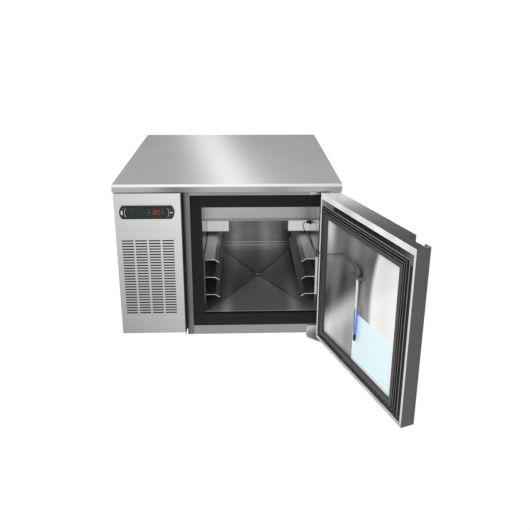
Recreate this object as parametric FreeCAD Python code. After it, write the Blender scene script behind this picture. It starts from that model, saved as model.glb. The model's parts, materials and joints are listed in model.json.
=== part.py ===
"""Three-tray blast chiller: a worktop cabinet with the condensing unit at its left and an
insulated chamber at its right, closed by one hinged door that stands open by 110 degrees.

Millimetres. X runs to the right, Y away from the user, Z up. The origin is on the floor,
under the centre of the worktop. Every piece of the door is drawn in the closed position
and is then turned about the hinge pins.
"""

import FreeCAD, Part
import math
import os

os.makedirs("parts", exist_ok=True)
Vec = FreeCAD.Vector

# ---------------------------------------------------------------- driving dimensions
# cabinet
WORKTOP_WIDTH = 680.0
WORKTOP_DEPTH = 728.0
WORKTOP_LIP = 24.0            # height of the folded front edge
WORKTOP_NOSE = 11.0           # radius of the rounded top edge
CABINET_HEIGHT = 536.0        # underside of the cabinet to the top of the worktop
FOOT_HEIGHT = 40.0
SHEET = 1.0                   # every folded sheet
SIDE_INSET = 1.5              # cabinet side behind the worktop's edge
REAR_INSET = 6.0
FRONT_INSET = 6.0             # service panel and door behind the worktop's nose

# machine compartment
SERVICE_WIDTH = 197.2
SERVICE_BOTTOM_RISE = 42.5    # service panel's lower edge above the cabinet's underside
SERVICE_TOP_GAP = 4.0         # below the worktop's lip
SERVICE_RETURN = 18.0
PAN_SETBACK = 34.0            # base pan behind the chamber's front
PAN_FLANGE = 25.0
DIVIDER_GAP = 3.3             # service panel's edge to the chamber's left post
CONDENSER_SETBACK = 8.0       # condenser behind the base pan's front
CONDENSER_DEPTH = 44.0
CONDENSER_HEIGHT = 329.0
COND_FAN_RISE = 150.0         # fan's axis above the cabinet's underside
COND_FAN_RADIUS = 73.0
COND_HUB_RADIUS = 24.0
COND_HUB_HEIGHT = 28.0
COMPRESSOR_FROM_REAR = 130.0
COMPRESSOR_RADIUS = 74.0
LINE_HOLE = 9.0
LINE_FROM_BACK = 40.0         # pipes through the insulated wall
LINE_BELOW_CEILING = 30.0
FOOT_FRONT = 146.0            # front feet behind the chamber's front
FOOT_REAR = 62.0

# ventilation slots of the service panel
SLOT_LENGTH = 34.8
SLOT_HEIGHT = 4.0
SLOT_PITCH_X = 40.6
SLOT_PITCH_Z = 9.0
SLOT_COLUMNS = 4
SLOT_ROWS = 28
SLOTS_LEFT = 16.5             # panel's edge to the first column
SLOTS_TOP_DROP = 150.0        # panel's upper edge to the first row's centre

# chamber
OPENING_LEFT = 54.0           # insulated wall beside the machine compartment
OPENING_RIGHT = 52.5          # insulated wall on the hinge side
OPENING_DROP = 70.0           # opening's top below the worktop's lip
OPENING_BOTTOM = 75.0         # above the cabinet's underside
REAR_WALL = 40.0              # chamber's rear wall to the rear panel
BREAKER_WIDTH = 35.5          # black strip round the opening
BREAKER_TOP = 39.5
BREAKER_BOTTOM = 43.0
BREAKER_DEPTH = 14.0
LINER_RADIUS = 12.0
FLOOR_BORDER = 50.0           # flat rim round the creased part of the floor
FLOOR_FALL = 6.0
DRAIN_FORWARD = 299.0         # drain behind the liner's front edge
DRAIN_PIPE_RADIUS = 13.0
DRAIN_PIPE_BELOW = 18.0
DRAIN_NECK_RADIUS = 12.2      # pipe above the bottom panel
STRAINER_RADIUS = 15.0

# tray racks
LEVELS = 3
TOP_LEVEL = 175.0             # above the chamber floor
LEVEL_PITCH = 62.7
RUNNER_REAR = 44.0            # runner's end in front of the chamber's rear wall
RUNNER_SETBACK = 40.0         # runner's front behind the chamber's front
RUNNER_SHEET = 1.5
RUNNER_LEDGE = 34.0
RUNNER_LIP = 14.0
RUNNER_LIP_DROP = 9.0
RUNNER_WEB = 14.0
UPRIGHT_SHEET = 2.0
UPRIGHT_DEPTH = 20.0
UPRIGHT_FLANGE = 4.5
UPRIGHT_ABOVE = 30.0          # upright's top above the top runner

# evaporator under the chamber's ceiling
HOOD_SETBACK = 110.0
HOOD_HEIGHT = 84.0
HOOD_GAP = 0.5
BAFFLE_SETBACK = 266.0
BAFFLE_DROP = 95.0
BAFFLE_WIDTH = 77.0
COIL_SIDE_GAP = 35.0          # chamber's side walls to the coil
COIL_DEPTH = 150.0
COIL_FINS = 24
EVAP_FAN_RADIUS = 94.0
EVAP_FAN_BACK = 102.0         # fan's axis in front of the chamber's rear wall
EVAP_HUB_RADIUS = 26.0
EVAP_HUB_HEIGHT = 24.0
FAN_GAP = 4.0                 # blade tip to its ring

# door
DOOR_THICKNESS = 54.0
DOOR_EDGE = 0.8               # right edge inside the cabinet's side
DOOR_LATCH_GAP = 3.8          # latch edge to the service panel
DOOR_TOP_GAP = 4.2
DOOR_BOTTOM_RISE = 17.4       # lower edge above the cabinet's underside
DOOR_FLANGE = 21.0
DOOR_OPEN = 110.0             # degrees, as photographed
GASKET_HEIGHT = 7.7           # above the door's inner face, 0.3 mm short of the chamber
GASKET_GAP = 8.0
GASKET_WIDTH = 31.0
GASKET_CLEAR = 2.5            # gasket to the chamber opening
GASKET_LOW = 5.0              # extra clearance below it
GASKET_HIGH = 2.0             # and so much less above it
CHANNEL_WIDTH = 76.2          # finger channel along the latch edge
CHANNEL_FLOOR = 26.0          # door's thickness there
GRIP_HEIGHT = 41.4
GRIP_LIP = 22.0
GRIP_LIP_THICKNESS = 6.0
GRIP_WALL = 4.0
HINGE_FROM_EDGE = 11.2
HINGE_FROM_FRONT = 7.5
PIN_RADIUS = 4.0
PIN_FIT = 0.05
BUSH_WALL = 1.9
BUSH_DEPTH = 18.0
BRACKET_SHEET = 4.0
BRACKET_WIDTH = 86.0
BRACKET_TOP_SHEET = 3.0
RISER_RADIUS = 7.2

# controller
CONTROL_WIDTH = 163.0
CONTROL_HEIGHT = 40.0
CONTROL_BULGE = 8.0
CONTROL_PROUD = 5.0
CONTROL_DROP = 58.5           # its centre below the service panel's upper edge
CONTROL_RIM = 2.2
CONTROL_LEFT = 1.5            # its centre left of the panel's
BODY_HALF = 74.0              # body behind the panel, half its length
BODY_HIGH = 14.5
BODY_DEPTH = 42.0
CONTROL_POCKET = 3.6
END_KEY = 14.0                # from the capsule's tip to the display
KEY_TRAVEL = 0.6
KEY_GAP = 0.3
KEY_RADIUS = 5.5
KEY_PITCH = 41.0
KEYS_RIGHT = 27.0             # the pair's centre right of the capsule's centre

# core temperature probe, its holder and the sheet below it
PROBE_FROM_HINGE = 243.0
PROBE_STAND_OFF = 9.0
PROBE_TIP = 190.0             # height above the floor
NEEDLE_LENGTH = 178.0
NEEDLE_RADIUS = 2.0
HANDLE_RADIUS = 9.0
LABEL_WIDTH = 186.0
LABEL_HEIGHT = 153.0
LABEL_GAP = 19.2              # gasket to the sheet, on the latch side
LABEL_SHEET = 0.3
CABLE_RADIUS = 1.6
GLAND_BEHIND = 246.0          # cable gland behind the chamber's front
GLAND_DROP = 55.0             # below the evaporator's cover
GLAND_STEM = 4.0
HOLDER_RISE = 13.0            # holder's shelf above the needle
HOLDER_SCREW_DROP = 11.0
HOLDER_SCREW_SPREAD = 21.0
HOLDER_SHEET = 1.2

CLEAR = 0.3
SCREW_RADIUS = 2.4
SMALL_SCREW_RADIUS = 1.5

# ---------------------------------------------------------------- places worked out from them
TOP = FOOT_HEIGHT + CABINET_HEIGHT
LIP_Z = TOP - WORKTOP_LIP
BASE = FOOT_HEIGHT
X0 = -WORKTOP_WIDTH / 2 + SIDE_INSET
X1 = WORKTOP_WIDTH / 2 - SIDE_INSET
Y_NOSE = -WORKTOP_DEPTH / 2
Y_FRONT = Y_NOSE + FRONT_INSET
Y_REAR = WORKTOP_DEPTH / 2 - REAR_INSET
Y_INNER = Y_FRONT + DOOR_THICKNESS
Y_FACE = Y_INNER + GASKET_GAP
X_SERVICE = X0 + SERVICE_WIDTH
X_POST = X_SERVICE + DIVIDER_GAP
OX0 = X_POST + OPENING_LEFT
OX1 = X1 - OPENING_RIGHT
OXC = (OX0 + OX1) / 2
OZ0 = BASE + OPENING_BOTTOM
OZ1 = LIP_Z - OPENING_DROP
Y_BACK = Y_REAR - REAR_WALL
Y_LINER = Y_FACE + BREAKER_DEPTH
BX0 = OX0 - BREAKER_WIDTH
BX1 = OX1 + BREAKER_WIDTH
BZ0 = OZ0 - BREAKER_BOTTOM
BZ1 = OZ1 + BREAKER_TOP
SERVICE_Z0 = BASE + SERVICE_BOTTOM_RISE
SERVICE_Z1 = LIP_Z - SERVICE_TOP_GAP
PANEL_BACK = Y_FRONT + SERVICE_RETURN
DX0 = X_SERVICE + DOOR_LATCH_GAP
DX1 = X1 - DOOR_EDGE
DZ0 = BASE + DOOR_BOTTOM_RISE
DZ1 = LIP_Z - DOOR_TOP_GAP
HINGE_X = DX1 - HINGE_FROM_EDGE
HINGE_Y = Y_FRONT + HINGE_FROM_FRONT
PAN_Y0 = Y_FACE + PAN_SETBACK
COMP_X0 = X0 + SHEET
COMP_X1 = X_POST - SHEET
MACHINE_X = (COMP_X0 + COMP_X1) / 2
CONDENSER_Y0 = PAN_Y0 + CONDENSER_SETBACK
SHROUD_Y = CONDENSER_Y0 + CONDENSER_DEPTH
CONDENSER_Z0 = BASE + SHEET
CONDENSER_Z1 = CONDENSER_Z0 + CONDENSER_HEIGHT
FAN_Z = BASE + COND_FAN_RISE
COMPRESSOR_Y = Y_REAR - COMPRESSOR_FROM_REAR
LINE_Y = Y_BACK - LINE_FROM_BACK
LINE_Z = OZ1 - LINE_BELOW_CEILING
GLAND_Y = Y_FACE + GLAND_BEHIND
CONTROL_X = (X0 + X_SERVICE) / 2 - CONTROL_LEFT
CONTROL_Z = SERVICE_Z1 - CONTROL_DROP
COIL_X0 = OX0 + COIL_SIDE_GAP
COIL_X1 = OX1 - COIL_SIDE_GAP
HOOD_Y = Y_FACE + HOOD_SETBACK
HOOD_Z = OZ1 - HOOD_HEIGHT
GLAND_Z = HOOD_Z - GLAND_DROP
EVAP_Y = Y_BACK - EVAP_FAN_BACK
FOOT_ROWS = (Y_FACE + FOOT_FRONT, Y_REAR - FOOT_REAR)
DRAIN_Y = Y_LINER + DRAIN_FORWARD
RUNNER_LENGTH = Y_BACK - RUNNER_REAR - Y_FACE - RUNNER_SETBACK
GX0 = OX0 - GASKET_CLEAR - GASKET_WIDTH
GX1 = OX1 + GASKET_CLEAR + GASKET_WIDTH
GZ0 = OZ0 - GASKET_CLEAR - GASKET_WIDTH - GASKET_LOW
GZ1 = OZ1 + GASKET_CLEAR + GASKET_WIDTH - GASKET_HIGH
Y_LINER_FACE = Y_INNER - SHEET
CHANNEL_Y = Y_INNER - CHANNEL_FLOOR
CHANNEL_X = DX0 + CHANNEL_WIDTH
BUSH_RADIUS = PIN_RADIUS + PIN_FIT + BUSH_WALL
PROBE_X = DX1 - PROBE_FROM_HINGE
PROBE_Y = Y_LINER_FACE + PROBE_STAND_OFF
NEEDLE_TOP = PROBE_TIP + NEEDLE_LENGTH
HOLDER_Z = NEEDLE_TOP + HOLDER_RISE
HOLDER_SCREW_Z = HOLDER_Z - HOLDER_SCREW_DROP
HOLDER_SCREWS = (PROBE_X - HOLDER_SCREW_SPREAD, PROBE_X + HOLDER_SCREW_SPREAD)


# ---------------------------------------------------------------- shape helpers
def block(x0, x1, y0, y1, z0, z1):
    """Box between two corners."""
    return Part.makeBox(x1 - x0, y1 - y0, z1 - z0, Vec(x0, y0, z0))


def rod(radius, height, base, axis=Vec(0, 0, 1)):
    """Cylinder from its base centre along an axis."""
    return Part.makeCylinder(radius, height, base, axis)


def ring(outer, inner, height, base, axis=Vec(0, 0, 1)):
    """Flat ring or tube."""
    return rod(outer, height, base, axis).cut(rod(inner, height, base, axis))


def plate(points, lift):
    """Closed outline through points, pushed along a vector."""
    return Part.Face(Part.makePolygon(points + [points[0]])).extrude(lift)


def frame_ring(x0, x1, z0, z1, bx0, bx1, bz0, bz1, y0, y1):
    """Rectangular frame in the XZ plane, with thickness from y0 to y1."""
    return block(x0, x1, y0, y1, z0, z1).cut(block(bx0, bx1, y0, y1, bz0, bz1))


def joined(solids):
    """One solid from touching solids, with the seams on flat faces removed."""
    return solids[0].fuse(solids[1:]).removeSplitter()


def prism(radius, height, base, axis=Vec(0, 0, 1), sides=10):
    """Many-sided rod for small round things, with its corners on the radius."""
    corners = [
        Vec(radius * math.cos(a), radius * math.sin(a), 0)
        for a in [2 * math.pi * k / sides for k in range(sides)]
    ]
    made = plate(corners, Vec(0, 0, height))
    made.Placement = FreeCAD.Placement(base, FreeCAD.Rotation(Vec(0, 0, 1), axis))
    return made


def prism_ring(outer, inner, height, base, axis=Vec(0, 0, 1), sides=10):
    """Many-sided washer or tube."""
    return prism(outer, height, base, axis, sides).cut(prism(inner, height, base, axis, sides))


def frustum(low, high, z_low, z_high):
    """Solid between two level rectangles (x0, x1, y0, y1), with flat sloping sides."""
    rings = []
    for (x0, x1, y0, y1), z in ((low, z_low), (high, z_high)):
        rings.append([Vec(x0, y0, z), Vec(x1, y0, z), Vec(x1, y1, z), Vec(x0, y1, z)])
    outlines = [rings[0], rings[1]]
    for k in range(4):
        n = (k + 1) % 4
        outlines.append([rings[0][k], rings[0][n], rings[1][n], rings[1][k]])
    faces = [Part.Face(Part.makePolygon(o + [o[0]])) for o in outlines]
    return Part.Solid(Part.makeShell(faces))


def turned_flat(profile, centre, sides):
    """Many-sided turned form about a vertical axis from (radius, height) points, low to high."""
    rings = []
    for r, z in profile:
        turns = [2 * math.pi * k / sides for k in range(sides)]
        rings.append([centre + Vec(r * math.cos(a), r * math.sin(a), z) for a in turns])
    outlines = [rings[0], rings[-1]]
    for low, high in zip(rings, rings[1:]):
        for k in range(sides):
            n = (k + 1) % sides
            outlines.append([low[k], low[n], high[n], high[k]])
    faces = [Part.Face(Part.makePolygon(o + [o[0]])) for o in outlines]
    return Part.Solid(Part.makeShell(faces))


def rounded_route(points, bend=None):
    """Straight runs joined by tangent arcs; returns the wire and the arcs' radii.

    Without a bend radius each arc takes 0.45 of its shorter run.
    """
    edges = []
    radii = []
    start = points[0]
    for before, corner, after in zip(points, points[1:], points[2:]):
        back = before - corner
        ahead = after - corner
        half_turn = (math.pi - back.getAngle(ahead)) / 2
        reach = 0.45 * min(back.Length, ahead.Length)
        if bend:
            reach = min(reach, bend * math.tan(half_turn))
        radius = reach / math.tan(half_turn)
        radii.append(radius)
        back.normalize()
        ahead.normalize()
        first = corner + back * reach
        last = corner + ahead * reach
        inward = back + ahead
        inward.normalize()
        middle = corner + inward * (radius / math.cos(half_turn) - radius)
        edges.append(Part.LineSegment(start, first).toShape())
        edges.append(Part.Arc(first, middle, last).toShape())
        start = last
    edges.append(Part.LineSegment(start, points[-1]).toShape())
    return Part.Wire(edges), radii


def tube(points, radius, bend=None, sides=None):
    """Rod along a route, round or with a number of sides; also its bends and length."""
    wire, radii = rounded_route(points, bend)
    heading = points[1] - points[0]
    if sides:
        flat = prism(radius, 1.0, points[0], heading, sides)
        section = min(flat.Faces, key=lambda f: (f.CenterOfMass - points[0]).Length).OuterWire
    else:
        section = Part.Wire(Part.makeCircle(radius, points[0], heading))
    return wire.makePipeShell([section], True, False), radii, wire.Length


def fan_wheel(tip, hub_radius, hub_height, blades, pitch):
    """Axial fan wheel about Z: a cup-shaped hub and pitched blades cut round at their tips."""
    cup_wall = 3.0
    hub = prism(hub_radius, hub_height, Vec(0, 0, 0), sides=16).cut(
        prism(hub_radius - cup_wall, hub_height - cup_wall, Vec(0, 0, cup_wall), sides=16))
    slope = math.radians(pitch)
    chord = min(1.05 * hub_radius + 0.35 * tip, (hub_height - 3) / math.sin(slope))
    thickness = 1.6
    made = []
    for k in range(blades):
        blade = block(hub_radius - 2, tip + 4, -chord / 2, chord / 2, 0, thickness)
        blade.rotate(Vec(0, 0, 0), Vec(1, 0, 0), pitch)
        blade.translate(Vec(0, 0, hub_height / 2 - thickness / 2))
        blade.rotate(Vec(0, 0, 0), Vec(0, 0, 1), 360.0 / blades * k)
        made.append(blade)
    inside = prism(hub_radius - 1, hub_height, Vec(0, 0, 0), sides=16)
    blades_cut = made[0].fuse(made[1:]).common(rod(tip, hub_height + 4, Vec(0, 0, -2)))
    return joined([hub, blades_cut.cut(inside)])


def finned_block(x0, x1, y0, y1, z0, z1, fins, spine=0.12):
    """Fin pack with the fins across X, held together by one spine at mid depth."""
    pitch = (x1 - x0) / fins
    gap = pitch * 0.72
    depth = (y1 - y0) * (1 - spine) / 2
    pack = block(x0, x1, y0, y1, z0, z1)
    gaps = []
    for k in range(fins):
        gx = x0 + pitch * k + (pitch - gap) / 2
        gaps.append(block(gx, gx + gap, y0, y0 + depth, z0, z1))
        gaps.append(block(gx, gx + gap, y1 - depth, y1, z0, z1))
    return pack.cut(gaps)


NODES = {}


def keep(name, shape):
    """Adds a cabinet piece."""
    NODES[name] = shape


def keep_door(name, shape):
    """Adds a door piece, turned from the closed to the open position."""
    turned = shape.copy()
    turned.rotate(Vec(HINGE_X, HINGE_Y, 0), Vec(0, 0, 1), DOOR_OPEN)
    NODES[name] = turned


# ---------------------------------------------------------------- worktop and cabinet sheets
def make_worktop():
    """Folded steel top with a rounded nose, stiffened by a board."""
    half = WORKTOP_WIDTH / 2
    rear = WORKTOP_DEPTH / 2
    rim = 12.0
    outer = block(-half, half, Y_NOSE, rear, LIP_Z, TOP)
    inner = block(-half + SHEET, half - SHEET, Y_NOSE + SHEET, rear - SHEET, LIP_Z, TOP - SHEET)

    def nose_edges(shape, y, z):
        return [
            e for e in shape.Edges
            if abs(e.BoundBox.YMin - y) < 1e-6 and abs(e.BoundBox.YMax - y) < 1e-6
            and abs(e.BoundBox.ZMin - z) < 1e-6 and abs(e.BoundBox.ZMax - z) < 1e-6
        ]

    outer = outer.makeFillet(WORKTOP_NOSE, nose_edges(outer, Y_NOSE, TOP))
    inner = inner.makeFillet(
        WORKTOP_NOSE - SHEET, nose_edges(inner, Y_NOSE + SHEET, TOP - SHEET)
    )
    rim_back = Y_NOSE + SHEET + rim
    skin = joined([
        outer.cut(inner),
        block(-half + SHEET, half - SHEET, Y_NOSE + SHEET, rim_back, LIP_Z, LIP_Z + SHEET),
    ])
    keep("worktop_skin", skin)
    board = block(
        -half + SHEET, half - SHEET, rim_back, rear - SHEET, LIP_Z, TOP - SHEET
    )
    keep("worktop_board", board)


def make_cabinet_sheets():
    """Sides, rear, underside, divider and base pan of the cabinet."""
    z1 = LIP_Z
    keep("right_side_panel", block(X1 - SHEET, X1, Y_FACE + SHEET, Y_REAR, BASE, z1))
    left = block(X0, COMP_X0, PANEL_BACK, Y_REAR, BASE, z1).cut(
        block(X0, COMP_X0, PANEL_BACK, PAN_Y0, BASE, SERVICE_Z0))
    front_return = block(COMP_X0, COMP_X0 + 16, PANEL_BACK, PANEL_BACK + SHEET, SERVICE_Z0, z1)
    keep("left_side_panel", joined([left, front_return]))
    # divider whose front is folded forward beside the service panel
    post_bottom = BASE + 22.0
    inner_x = X_SERVICE - SHEET
    divider = joined([
        block(COMP_X1, X_POST, Y_FACE + SHEET, Y_REAR - SHEET, BASE, z1),
        block(inner_x, X_SERVICE, PANEL_BACK, Y_FACE + SHEET, post_bottom, z1),
        block(inner_x - 15, inner_x, PANEL_BACK, PANEL_BACK + SHEET, SERVICE_Z0, z1),
        block(inner_x, X_POST, Y_FACE + SHEET, Y_FACE + 2 * SHEET, post_bottom, z1),
    ])
    keep("divider_panel", divider.cut(
        prism(LINE_HOLE, 3 * SHEET, Vec(COMP_X1 - SHEET, LINE_Y, LINE_Z), Vec(1, 0, 0))))
    rear = block(COMP_X0, X1 - SHEET, Y_REAR - SHEET, Y_REAR, BASE, z1)
    louvre_length = 70.0
    louvre_pitch = 14.0
    louvres = [
        block(x, x + louvre_length, Y_REAR - SHEET, Y_REAR, z, z + 5.0)
        for x in (COMP_X0 + 18, COMP_X0 + 108)
        for z in [BASE + 110 + louvre_pitch * k for k in range(18)]
    ]
    keep("rear_panel", rear.cut(louvres))
    keep("bottom_panel", block(X_POST, X1 - SHEET, Y_FACE + SHEET, Y_REAR - SHEET, BASE,
                               BASE + SHEET).cut(
        rod(DRAIN_NECK_RADIUS + PIN_FIT, 3 * SHEET, Vec(OXC, DRAIN_Y, BASE - SHEET))
    ))
    pan = block(COMP_X0, COMP_X1, PAN_Y0, Y_REAR - SHEET, BASE, BASE + PAN_FLANGE).cut(
        block(COMP_X0, COMP_X1, PAN_Y0 + SHEET, Y_REAR - SHEET, BASE + SHEET, BASE + PAN_FLANGE)
    )
    keep("base_pan", pan)


def make_front_frame():
    """Stainless face of the chamber and the black breaker strip inside it."""
    z1 = LIP_Z
    keep("front_frame", frame_ring(
        COMP_X1, X1, BASE, z1, BX0, BX1, BZ0, BZ1, Y_FACE, Y_FACE + SHEET))
    strip = frame_ring(BX0, BX1, BZ0, BZ1, OX0, OX1, OZ0, OZ1, Y_FACE, Y_LINER)
    front = [e for e in strip.Edges if abs(e.BoundBox.YMax - Y_FACE) < 1e-6]
    keep("breaker_frame", strip.makeChamfer(1.0, front))


def make_chamber():
    """Liner, creased floor with its drain, and the foam round them."""
    liner = block(OX0 - SHEET, OX1 + SHEET, Y_LINER, Y_BACK + SHEET, OZ0, OZ1 + SHEET)
    hollow = block(OX0, OX1, Y_LINER, Y_BACK, OZ0 - SHEET, OZ1)
    uprights = [
        e for e in hollow.Edges
        if abs(e.BoundBox.YMin - Y_BACK) < 1e-6 and e.BoundBox.ZLength > (OZ1 - OZ0) / 2
    ]
    hollow = hollow.makeFillet(LINER_RADIUS, uprights)
    through_wall = prism(LINE_HOLE, 4 * SHEET, Vec(OX0 - 2 * SHEET, LINE_Y, LINE_Z), Vec(1, 0, 0))
    keep("chamber_liner", liner.cut(hollow).cut(through_wall))

    rim_x0, rim_x1 = OX0 + FLOOR_BORDER, OX1 - FLOOR_BORDER
    rim_y0 = 2 * DRAIN_Y - (Y_BACK - FLOOR_BORDER - 20)
    rim_y1 = Y_BACK - FLOOR_BORDER - 20
    half_drain = STRAINER_RADIUS + 3

    def funnel(z_rim):
        pit = (OXC - half_drain, OXC + half_drain, DRAIN_Y - half_drain, DRAIN_Y + half_drain)
        return frustum(pit, (rim_x0, rim_x1, rim_y0, rim_y1), z_rim - FLOOR_FALL, z_rim)

    drain_hole = rod(DRAIN_NECK_RADIUS + PIN_FIT, CABINET_HEIGHT / 4,
                     Vec(OXC, DRAIN_Y, BASE - SHEET))
    below = funnel(OZ0 - SHEET)
    slab = block(OX0 - SHEET, OX1 + SHEET, Y_LINER, Y_BACK + SHEET, OZ0 - SHEET, OZ0)
    floor = slab.fuse(below).cut(funnel(OZ0)).cut(drain_hole)
    cover = block(OX0 - 2, OX1 + 2, Y_LINER - 2, Y_BACK + 2, OZ0, OZ0 + 2)
    keep("chamber_floor", floor.cut(cover).removeSplitter())

    foam = block(X_POST, X1 - SHEET, Y_FACE + SHEET, Y_REAR - SHEET, BASE + SHEET, LIP_Z)
    foam = foam.cut([
        block(BX0, BX1, Y_FACE, Y_LINER, BZ0, BZ1),
        block(OX0 - SHEET, OX1 + SHEET, Y_LINER, Y_BACK + SHEET, OZ0 - SHEET, OZ1 + SHEET),
        below,
        drain_hole,
        prism(LINE_HOLE, OPENING_LEFT + 2, Vec(X_POST - 1, LINE_Y, LINE_Z), Vec(1, 0, 0)),
        prism(GLAND_STEM + PIN_FIT, 20.0, Vec(OX1, GLAND_Y, GLAND_Z), Vec(1, 0, 0)),
    ])
    keep("insulation_foam", foam)
    # the liner's own bore for the probe gland
    NODES["chamber_liner"] = NODES["chamber_liner"].cut(
        prism(GLAND_STEM + PIN_FIT, 20.0, Vec(OX1 - SHEET, GLAND_Y, GLAND_Z), Vec(1, 0, 0)))


def make_drain():
    """Strainer in the floor and the pipe down through the base."""
    seat_z = OZ0 - SHEET - FLOOR_FALL
    low_z = BASE - DRAIN_PIPE_BELOW
    bore = DRAIN_PIPE_RADIUS - 2.2
    pipe = rod(DRAIN_PIPE_RADIUS, DRAIN_PIPE_BELOW, Vec(OXC, DRAIN_Y, low_z)).fuse(
        rod(DRAIN_NECK_RADIUS, seat_z + SHEET - BASE, Vec(OXC, DRAIN_Y, BASE)))
    keep("drain_pipe", pipe.cut(
        prism(bore, 2 * OPENING_BOTTOM, Vec(OXC, DRAIN_Y, low_z), sides=16)))
    disc_z = seat_z + SHEET
    disc = prism(STRAINER_RADIUS, 1.2, Vec(OXC, DRAIN_Y, disc_z), sides=20)
    holes = [
        prism(1.7, 4, Vec(OXC + 7.5 * math.cos(a), DRAIN_Y + 7.5 * math.sin(a), disc_z - 1),
              sides=6)
        for a in [math.radians(60 * k) for k in range(6)]
    ]
    keep("drain_strainer", disc.cut(holes))


# ---------------------------------------------------------------- service panel and controller
def make_service_panel():
    """Front panel with its slots, folded back on four sides."""
    panel = block(X0, X_SERVICE, Y_FRONT, PANEL_BACK, SERVICE_Z0, SERVICE_Z1)
    panel = panel.cut(block(X0 + SHEET, X_SERVICE - SHEET, Y_FRONT + SHEET, PANEL_BACK,
                            SERVICE_Z0 + SHEET, SERVICE_Z1 - SHEET))
    cuts = []
    for column in range(SLOT_COLUMNS):
        for row in range(SLOT_ROWS):
            x = X0 + SLOTS_LEFT + SLOT_PITCH_X * column
            z = SERVICE_Z1 - SLOTS_TOP_DROP - SLOT_PITCH_Z * row
            cuts.append(block(x, x + SLOT_LENGTH, Y_FRONT, Y_FRONT + SHEET,
                              z - SLOT_HEIGHT / 2, z + SLOT_HEIGHT / 2))
    cuts.append(block(CONTROL_X - BODY_HALF, CONTROL_X + BODY_HALF, Y_FRONT, Y_FRONT + SHEET,
                      CONTROL_Z - BODY_HIGH, CONTROL_Z + BODY_HIGH))
    keep("service_panel", panel.cut(cuts))


def capsule(inset, y0, y1):
    """Controller outline: straight top and bottom, ends bulging as arcs."""
    half = CONTROL_WIDTH / 2 - inset
    high = CONTROL_HEIGHT / 2 - inset
    shoulder = half - CONTROL_BULGE
    z = CONTROL_Z
    x = CONTROL_X
    edges = [
        Part.LineSegment(Vec(x - shoulder, y0, z + high), Vec(x + shoulder, y0, z + high)),
        Part.Arc(Vec(x + shoulder, y0, z + high), Vec(x + half, y0, z),
                 Vec(x + shoulder, y0, z - high)),
        Part.LineSegment(Vec(x + shoulder, y0, z - high), Vec(x - shoulder, y0, z - high)),
        Part.Arc(Vec(x - shoulder, y0, z - high), Vec(x - half, y0, z),
                 Vec(x - shoulder, y0, z + high)),
    ]
    wire = Part.Wire([e.toShape() for e in edges])
    return Part.Face(wire).extrude(Vec(0, y1 - y0, 0))


def make_controller():
    """Bezel with its body, display window and four keys that travel inwards."""
    y_front = Y_FRONT - CONTROL_PROUD
    y_floor = y_front + CONTROL_POCKET
    bezel = capsule(0, y_front, Y_FRONT).fuse(
        block(CONTROL_X - BODY_HALF + CLEAR, CONTROL_X + BODY_HALF - CLEAR, Y_FRONT,
              Y_FRONT + BODY_DEPTH, CONTROL_Z - BODY_HIGH + CLEAR,
              CONTROL_Z + BODY_HIGH - CLEAR))
    bezel = bezel.cut(capsule(CONTROL_RIM, y_front, y_floor))
    keep("controller_bezel", bezel)

    inside = capsule(CONTROL_RIM + KEY_GAP, y_front + 0.4, y_floor)
    split_left = CONTROL_X - CONTROL_WIDTH / 2 + END_KEY
    split_right = CONTROL_X + CONTROL_WIDTH / 2 - END_KEY
    big = CONTROL_WIDTH
    window = inside.common(block(split_left + KEY_GAP, split_right - KEY_GAP, y_front - 1,
                                 y_floor + 1, CONTROL_Z - big, CONTROL_Z + big))
    y_key = y_floor - KEY_TRAVEL - KEY_GAP
    centres = [CONTROL_X + KEYS_RIGHT + side * KEY_PITCH / 2 for side in (-1, 1)]
    for name, x in zip(("key_down", "key_up"), centres):
        window = window.cut(rod(KEY_RADIUS + KEY_GAP, 10, Vec(x, y_front - 2, CONTROL_Z),
                                Vec(0, 1, 0)))
        key = rod(KEY_RADIUS, y_key - y_front + 0.4, Vec(x, y_front - 0.4, CONTROL_Z),
                  Vec(0, 1, 0))
        outer_edge = [e for e in key.Edges if abs(e.BoundBox.YMax - (y_front - 0.4)) < 1e-6]
        keep(name, key.makeChamfer(0.4, outer_edge))
    keep("display_window", window)
    for name, x0, x1 in (("key_off", CONTROL_X - big, split_left),
                         ("key_on", split_right, CONTROL_X + big)):
        end = capsule(CONTROL_RIM + KEY_GAP, y_front + 0.2, y_key)
        keep(name, end.common(block(x0, x1, y_front - 1, y_floor + 1, CONTROL_Z - big,
                                    CONTROL_Z + big)))


# ---------------------------------------------------------------- condensing unit


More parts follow.
